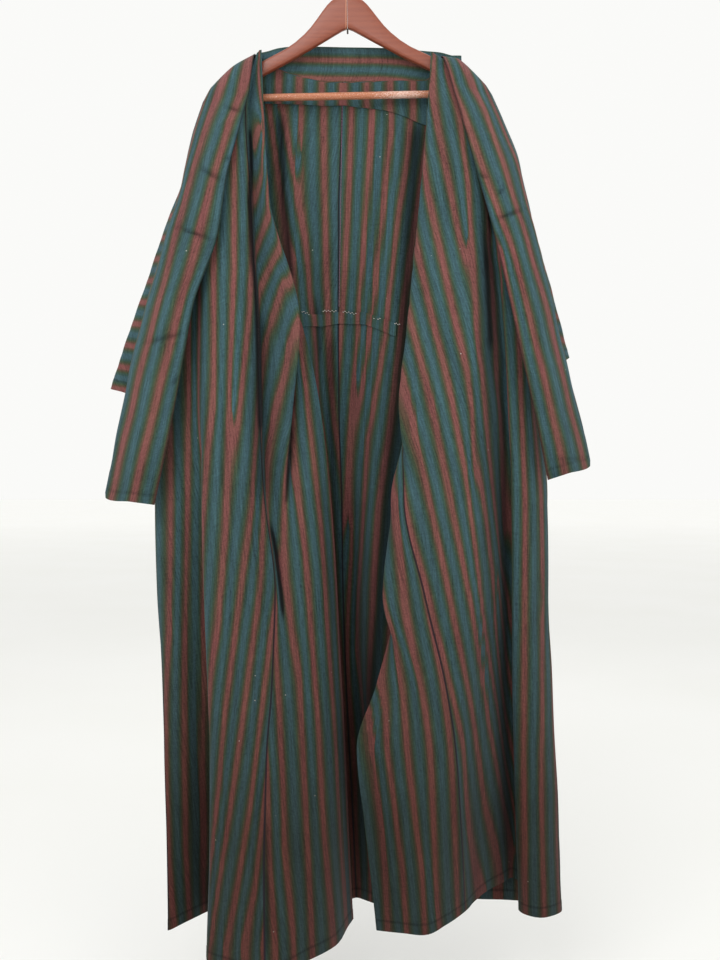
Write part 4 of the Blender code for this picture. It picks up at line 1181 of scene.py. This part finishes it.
# A layer on the inside of a back panel: the panel's own points at shares of the way between the edges,
# moved off it along its normals by half both thicknesses and the gap.
def buildLayer(kind, side, body):
    sheet, normal, columns, fields = body
    end, top, foot, rows, thick, solidThick, lines = layers[kind]
    part = spanOf(columns, side, "centreSeam", end)
    panel, out = sheet[:, part], normal[:, part]
    out = out * np.where(out[:, :, 1:2] > 0, -1, 1)
    middle = (top[len(top) // 2][1] + foot[len(foot) // 2][1]) / 2 * mm
    place = np.array([np.interp(-middle, -line[:, 2], line[:, 0]) for line in panel.transpose(1, 0, 2)])
    high, low = (np.interp(place, *(np.array(edge, float).T * mm)) for edge in (top, foot))
    high = np.minimum(high, panel[0, :, 2] - layerSettings["belowEdge"])
    z = high + (low - high) * (np.linspace(0, 1, rows) ** layerSettings["gather"])[:, None]

    def onRows(values):
        columns = [np.interp(-z[:, j], -panel[:, j, 2], values[:, j]) for j in range(z.shape[1])]
        return np.stack(columns, axis=1)

    ways = np.stack([onRows(out[:, :, axis]) for axis in range(3)], axis=2)
    ways /= np.linalg.norm(ways, axis=2, keepdims=True)
    points = np.stack([onRows(panel[:, :, axis]) for axis in range(3)], axis=2)
    moved = points + ways * (clothSettings["single"] + layerSettings["gap"] + solidThick / 2)
    own = fields["back_" + side]
    own = own[:, :len(place)] if side == "right" else own[:, -len(place):]
    repeats = repeatsAcross(moved, [(0, len(place) - 1, lines)]) if lines else onRows(own)
    if (normalsOf(moved) * ways).sum() < 0:
        moved, ways, repeats = moved[:, ::-1], ways[:, ::-1], repeats[:, ::-1]
    sew(f"{kind}_{side}", moved, ways, thick, turnOf(repeats))


# Rows up the band, its red stripe below its edge and its thickness in metres, then columns: past the back's
# middle on the right, in the turned left end and in the tapered right end.
neckSettings = {"rows": 26, "redBelowEdge": 0.0215, "cloth": 0.0012, "overlap": 6, "turned": 13, "tapered": 6}


# The neck band stands on the back's upper edge, rows shared out between its foot and its top edge, with
# its stripes along it. Its left end turns over the hanger's arm, and its right end tapers off.
def buildNeck(body):
    sheet, normal, columns, fields = body
    foot = sheet[0, columns["left", "backMiddle"]: columns["right", "backMiddle"] + neckSettings["overlap"]]
    x, y, z = np.array(neckEdge, float).T * mm
    edge = np.stack([foot[:, 0], along(x, y, foot[:, 0]), along(x, z, foot[:, 0])], axis=1)
    both = np.column_stack([foot, edge[:, 2]])
    turned = np.vstack([np.array(neckLeftEnd) * mm, both[0]])
    places = np.linspace(0, 3, neckSettings["turned"])[:-1]
    turned = np.stack([along(range(4), turned[:, k], places) for k in range(4)], axis=1)
    tapered = np.linspace(both[-1], np.array(neckRightEnd) * mm, neckSettings["tapered"])[1:]
    foot = np.concatenate([turned[:, :3], foot, tapered[:, :3]])
    edge = np.concatenate([turned[:, [0, 1, 3]], edge, tapered[:, [0, 1, 3]]])
    band = foot + (edge - foot) * np.linspace(0, 1, neckSettings["rows"])[:, None, None]
    below = arcOf(band[::-1], 0)[::-1]
    repeats = (below - neckSettings["redBelowEdge"]) / stripeSettings["repeat"]
    sew("collar_neck", band, normalsOf(band), neckSettings["cloth"], turnOf(repeats))


# Rows in each section, columns in each span and behind the fold, the back's stripes and their slant, the
# shares of the way down the roll, how dark the painted shade in the creases and the painted shadow along the
# front's inner edge are, the depth in mm of a crease that is fully shaded and the columns it fades over, then
# the fine waves: height, lengths and where they begin.
sleeveSettings = {
    "rows": 24, "across": 16, "turn": 8, "acrossRepeat": 0.035, "slant": 0.2,
    "roll": (0, 0.008, 0.03, 0.06, 0.1, 0.16, 0.22, 0.3, 0.38, 0.46, 0.55, 0.66, 0.77, 0.88),
    "creaseShade": 0.62, "creaseFull": 2.4, "creaseFade": 4, "edgeShade": 0.85, "edgeWidth": 0.0016,
    "wave": 0.0007, "waveDown": 0.017, "waveAcross": 0.03, "waveStart": (0.03, 0.15),
}
sleeveCreases = {
    "left": (
        (((-190, -231), (-154, -242)), 2.4, -2.2),
        (((-207, -277), (-194, -262), (-173, -253), (-159, -245)), 5, 2.2),
        (((-187, -307), (-171, -318)), 2.4, -2.0),
        (((-234, -321), (-180, -351)), 2.6, -2.2),
        (((-268, -414), (-196, -439)), 2.2, -2.6),
        (((-318, -597), (-236, -576)), 3.2, -2.0),
        (((-271, -659), (-251, -646)), 2.6, -1.8),
    ),
    "right": (
        (((190, -277), (234, -276)), 2.6, 2.0),
        (((197, -333), (222, -344)), 2.4, -2.2),
        (((229, -370), (245, -354)), 2.4, -2.0),
        (((222, -408), (280, -386)), 2.2, -2.8),
        (((316, -772), (375, -772)), 2.2, -1.4),
    ),
}


# A sleeve hangs from a ridge, its table's first row, in a roll over the shoulder: quarter-circle rows from
# the ridge to the next section, then rounded lines through the rest. Its back layer shows the stripes
# running across, as a slanted share of height.
def buildSleeve(side, table, lines):
    points = np.array(table, float) * mm
    wide, turn = sleeveSettings["across"], sleeveSettings["turn"]
    lower = across(points[1:].transpose(1, 0, 2), [sleeveSettings["rows"]] * (len(points) - 2))
    share = np.array(sleeveSettings["roll"])[:, None]
    step = (points[1] - points[0])[None]
    rolls = points[0] + step * share[:, :, None]
    rolls[:, :, 1] = points[0, :, 1] + step[:, :, 1] * np.sqrt(1 - (1 - share) ** 2)
    grid = across(np.concatenate([rolls, lower.transpose(1, 0, 2)]), [wide, wide, turn, turn, wide, wide])
    inward, down, column = arcOf(grid, 1), arcOf(grid, 0), np.arange(grid.shape[1])
    fade = sleeveSettings["creaseFade"]
    front = smooth(2 * wide + fade, 2 * wide - fade, column)
    depth = creaseHeight(*seenPlace(grid), sleeveCreases[side]) * front
    # painted shade in the creases' troughs, and a painted shadow line along the front's inner edge where it
    # lies over the body
    dark = np.clip(-depth / sleeveSettings["creaseFull"], 0, 1) * sleeveSettings["creaseShade"]
    edge = sleeveSettings["edgeShade"] * bell(inward, sleeveSettings["edgeWidth"])
    shade = np.maximum(np.maximum(dark, hemLine(grid)), edge)
    wave = np.sin(down / sleeveSettings["waveDown"] + 2.0 * inward / sleeveSettings["waveAcross"])
    wave = wave * smooth(*sleeveSettings["waveStart"], down)
    repeats = repeatsAcross(grid, [(0, 2 * wide, stripeTracks[lines])])
    slanted = (grid[:, :, 2] + grid[:, :, 0] * sleeveSettings["slant"]) / sleeveSettings["acrossRepeat"]
    stripe = np.where((column > 2 * wide + turn - 1)[None, :, None], turnOf(slanted), turnOf(repeats))
    cut = raised(grid, depth * mm + sleeveSettings["wave"] * wave)
    sew("sleeve_" + side, cut, normalsOf(cut), hemThickness(cut), stripe, shade)


# An arm's half depth, rounding and taper in metres, its sides and rows, and the powers and shares that
# shape its section and its end. Then the bar, the hook and its arc in degrees.
armSettings = {"halfDepth": 0.0065, "round": 0.0042, "taper": 0.005, "around": 28, "along": 110,
               "topPower": 0.32, "roundPower": 0.4, "depthPower": 0.55, "endTall": 0.4, "endLeast": 0.02}
barSettings = {"halfLength": 0.1734, "height": -0.2162, "radius": 0.0054, "steps": 60, "sides": 32,
               "rounding": ((0, 0.0010), (0.0001, 0.0003), (0.0006, 0), (0.0014, 0))}
hookSettings = {"radius": 0.0217, "centre": -0.020, "arc": (-72, 205), "wire": 0.0017,
                "tip": (0.0015, 0.0009), "steps": 70, "sides": 18,
                "foot": ((0, -0.0644), (0, -0.058), (0, -0.052), (0.0007, -0.0475), (0.0030, -0.0435))}
# The thread end under the wood: the gap above it, then distances below that and the radius at each.
threadSettings = {"gap": 0.0006, "sides": 16,
                  "rings": ((0.007, 0.0009), (0.0066, 0.0013), (0.001, 0.0013), (0, 0.0013))}
hangerTilt = math.radians(1.2)


# Turns points about the Y axis by the hanger's tilt.
def level(points):
    c, s = math.cos(hangerTilt), math.sin(hangerTilt)
    x, y, z = np.moveaxis(np.asarray(points, float), -1, 0)
    return np.stack([x * c - z * s, y, z * c + x * s], axis=-1)


# A closed tube from a grid whose rows go round it, with a fan at each end, in place of its solid.
def tubePiece(name, solid, grid, material):
    rows, sides = grid.shape[:2]
    i = np.arange(rows * sides).reshape(rows, sides)
    a, b = i[:-1], i[1:]
    quads = np.stack([a, np.roll(a, -1, axis=1), np.roll(b, -1, axis=1), b], axis=2).reshape(-1, 4)
    first, last = (np.full(sides, rows * sides + end) for end in (0, 1))
    start = np.stack([first, np.roll(i[0], -1), i[0]], axis=1)
    finish = np.stack([last, i[-1], np.roll(i[-1], -1)], axis=1)
    points = np.concatenate([grid.reshape(-1, 3), [grid[0].mean(axis=0)], [grid[-1].mean(axis=0)]])
    piece = finishMesh(name, level(points), [quads, start, finish], material)
    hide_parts(solid)


# An arm is a run of rounded upright sections: at each place along it a superellipse between the arm's top
# and bottom, drawn in towards both ends.
def buildArm(side):
    sign = -1 if side == "left" else 1
    x, top, bottom = np.array(armProfile, float).T * mm
    at = np.unique(np.concatenate([x, np.linspace(x[0], x[-1], armSettings["along"])]))[:, None]
    high, low = np.interp(at, x, top), np.interp(at, x, bottom)
    angle = np.arange(armSettings["around"]) / armSettings["around"] * 2 * math.pi
    ends = 1 - (1 - np.clip((x[-1] - at) / armSettings["taper"], 0, 1)) ** 2
    ends = np.sqrt(np.clip(ends, armSettings["endLeast"], 1))
    tall = (high - low) / 2
    rounding = np.minimum(armSettings["round"] / np.maximum(tall, 0.001), 0.9)
    power = armSettings["topPower"] + armSettings["roundPower"] * rounding
    ring = np.sign(np.sin(angle)) * np.abs(np.sin(angle)) ** power
    depth = np.sign(np.cos(angle)) * np.abs(np.cos(angle)) ** armSettings["depthPower"]
    least = armSettings["endTall"]
    grid = np.stack([
        np.broadcast_to(at * sign, ring.shape), depth * armSettings["halfDepth"] * ends,
        (high + low) / 2 + ring * tall * (least + (1 - least) * ends)], axis=2)
    tubePiece(f"arm_{side}_wood", "arm_" + side, grid[:, ::-sign], armWood)


# A round rod along a line in the XZ plane: a circle carried along it, with its radius at each point.
def rod(line, radius, sides):
    line = np.asarray(line, float)
    way = np.gradient(line, axis=0)
    way /= np.linalg.norm(way, axis=1, keepdims=True)
    angle = np.arange(sides) / sides * 2 * math.pi
    side, front = radius[:, None] * np.cos(angle), radius[:, None] * np.sin(angle)
    return np.stack([line[:, :1] - side * way[:, 1:], front, line[:, 1:] + side * way[:, :1]], axis=2)


def buildHanger():
    buildArm("left")
    buildArm("right")
    inset, lost = np.array(barSettings["rounding"]).T
    ends, inner = barSettings["halfLength"] - inset[:-1], barSettings["halfLength"] - inset[-1]
    x = np.concatenate([-ends, np.linspace(-inner, inner, barSettings["steps"]), ends[::-1]])
    radius = np.full(len(x), barSettings["radius"])
    radius[:len(lost)] -= lost
    radius[-len(lost):] -= lost[::-1]
    middle = np.column_stack([x, np.full(len(x), barSettings["height"])])
    bar = rod(middle, radius, barSettings["sides"])
    tubePiece("trouser_bar_wood", "trouser_bar", bar, barWood)
    turn = np.radians(np.linspace(*hookSettings["arc"], hookSettings["steps"]))
    ring = np.column_stack([np.cos(turn), np.sin(turn)]) * hookSettings["radius"]
    ring[:, 1] += hookSettings["centre"]
    line = np.concatenate([hookSettings["foot"], ring])
    radius = np.full(len(line), hookSettings["wire"])
    radius[-2:] = hookSettings["tip"]
    tubePiece("hook_wire", "hook", rod(line, radius, hookSettings["sides"]), hookSteel)
    below, radius = np.array(threadSettings["rings"]).T
    z = armProfile[0][2] * mm - threadSettings["gap"] - below
    end = rod(np.column_stack([np.zeros(len(z)), z]), radius, threadSettings["sides"])
    tubePiece("hook_thread_wire", "hook_thread_end", end, threadSteel)
    print("hanger built")


body = buildBody()
for side in ("left", "right"):
    for kind in layers:
        buildLayer(kind, side, body)
buildNeck(body)
buildSleeve("left", leftSleeve, "sleeveLeft")
buildSleeve("right", rightSleeve, "sleeveRight")
print("layers, neck band and sleeves sewn")
buildHanger()

# A stitch's length and radius in metres, how far every second one is set up and where the centre seam is in
# mm, and its sphere's grid.
stitchSettings = {"length": 0.0019, "radius": 0.0006, "zigzag": 1.6, "seam": -12, "ring": 8, "band": 6}
# Runs of stitches along the tuck: seen x and z at both ends in mm, and how many.
tuckStitches = ((-70, -547, -58, -552, 5), (-38, -546, -14, -547, 8), (-5, -547, 18, -551, 8),
                (43, -557, 55, -559, 4), (74, -565, 83, -568, 4))
# Stitches on the centre seam: how many, the first one's seen place, then the drift of the whole run across
# and each one's step down, in mm.
seamStitches = {"count": 61, "start": (-5.5, -212), "drift": -5, "step": -5.4}


# Stitches as small capsules, each a sphere's points drawn out along its own direction, at seen places on
# a span of the back, off it towards the viewer.
def buildStitches(name, body, key, places, ways, material, off, long=1.0):
    sheet, normal, columns, fields = body
    part = spanOf(columns, *key)
    panel, out = sheet[:, part].reshape(-1, 3), normal[:, part].reshape(-1, 3)
    seenX, seenZ = seenPlace(panel)
    near = [np.argmin(np.hypot(seenX - x, seenZ - z)) for x, z in places]
    x, z = np.array(places).T * mm
    spots = placeSeen(x, panel[near, 1], z) - out[near] * np.sign(out[near, 1:2]) * off
    ring, band = stitchSettings["ring"], stitchSettings["band"]
    theta = np.arange(ring) / ring * 2 * math.pi
    phi = np.linspace(-math.pi / 2, math.pi / 2, band + 1)[:, None]
    lengthways = np.sin(phi) * stitchSettings["length"] / 2 * long + np.zeros(ring)
    girth = np.cos(phi) ** 0.5 * stitchSettings["radius"]
    c, s = np.cos(ways)[:, None, None], np.sin(ways)[:, None, None]
    a, b = lengthways, girth * np.sin(theta)
    ball = np.stack([a * c - b * s, np.broadcast_to(girth * np.cos(theta), (len(places), *a.shape)),
                     a * s + b * c], axis=-1)
    points = (ball + spots[:, None, None]).reshape(-1, 3)
    i = np.arange(len(points)).reshape(len(places), band + 1, ring)
    low, high = i[:, :-1], i[:, 1:]
    faces = np.stack([high, np.roll(high, -1, axis=2), np.roll(low, -1, axis=2), low], axis=3).reshape(-1, 4)
    finishMesh(name, points, [faces], material)


for side in ("left", "right"):
    places, ways = [], []
    for x0, z0, x1, z1, count in tuckStitches:
        for k in range(count):
            share = (k + 0.5) / count
            x, z = x0 + (x1 - x0) * share, z0 + (z1 - z0) * share
            if (x < stitchSettings["seam"]) == (side == "left"):
                places.append((x, z + stitchSettings["zigzag"] * (k % 2)))
                ways.append(math.atan2(z1 - z0, x1 - x0))
    buildStitches("tuck_stitches_" + side, body, (side, "centreSeam", "backCrest"), places, ways, whiteThread,
                  off=0.0031)
count, (startX, startZ) = seamStitches["count"], seamStitches["start"]
drift, step = seamStitches["drift"], seamStitches["step"]
places = [(startX + drift * k / (count - 1), startZ + step * k) for k in range(count)]
buildStitches("centre_seam_stitches", body, ("left", "centreSeam", "backMiddle"), places,
              [math.pi / 2] * count, purpleThread, off=0.0008, long=3.0)
print("stitches sewn")

# Pale floor and wall, and soft light from above and in front: each lamp's power, size, place and aim.
room = {
    "world": (250, 250, 248), "albedo": (238, 238, 236), "shade": (236, 236, 233), "floor": -1.62, "half": 40,
    "glowFrom": 2.0, "glowOver": 16.0, "glow": 0.14,
    "lamps": (("key", 26.0, 1.6, (-0.9, -2.2, 0.9), (0, 0, -0.6)),
              ("fill", 8.0, 2.0, (1.6, -2.0, 0.3), (0, 0, -0.7)),
              ("rim", 10.0, 1.8, (0.4, 2.2, 1.0), (0, 0, -0.7))),
}


# A large square floor, tinted by broad noise, which glows more the farther off it is.
def buildFloor():
    half = room["half"]
    corners = [(x, y, room["floor"]) for x, y in ((-half, -half), (half, -half), (half, half), (-half, half))]
    mesh = bpy.data.meshes.new("floor")
    mesh.from_pydata(corners, [], [(0, 1, 2, 3)])
    made, tree, shader = newMaterial("floor")
    place = objectPlace(tree)
    stops = [(0.3, screen(room["shade"])), (0.7, screen(room["albedo"]))]
    far = node(tree, "ShaderNodeVectorMath", {"operation": "LENGTH"}, i0=place)["Value"]
    glow = over(tree, minus(tree, far, room["glowFrom"]), room["glowOver"], clamp=True)
    feed(tree, shader, {
        "Base Color": ramp(tree, noise(tree, place, 1.2, 3.0), stops), "Roughness": 0.9,
        "Emission Color": screen(room["world"]), "Emission Strength": times(tree, glow, room["glow"])})
    mesh.materials.append(made)
    floor = bpy.data.objects.new("floor", mesh)
    scene.collection.objects.link(floor)


# A square lamp turned about X and then Z so that it faces its aim.
def addLamp(name, power, size, place, aim):
    data = bpy.data.lights.new(name, "AREA")
    data.energy, data.size = power, size
    lamp = bpy.data.objects.new(name, data)
    lamp.location = place
    way = np.array(aim, float) - place
    lamp.rotation_euler = (math.atan2(math.hypot(way[0], way[1]), -way[2]), 0, math.atan2(-way[0], way[1]))
    scene.collection.objects.link(lamp)


buildFloor()
for lamp in room["lamps"]:
    addLamp(*lamp)
world = bpy.data.worlds.new("studio")
world.use_nodes = True
world.node_tree.nodes["Background"].inputs[0].default_value = screen(room["world"])
scene.world = world
scene.view_settings.view_transform = "Standard"
print("stage set")
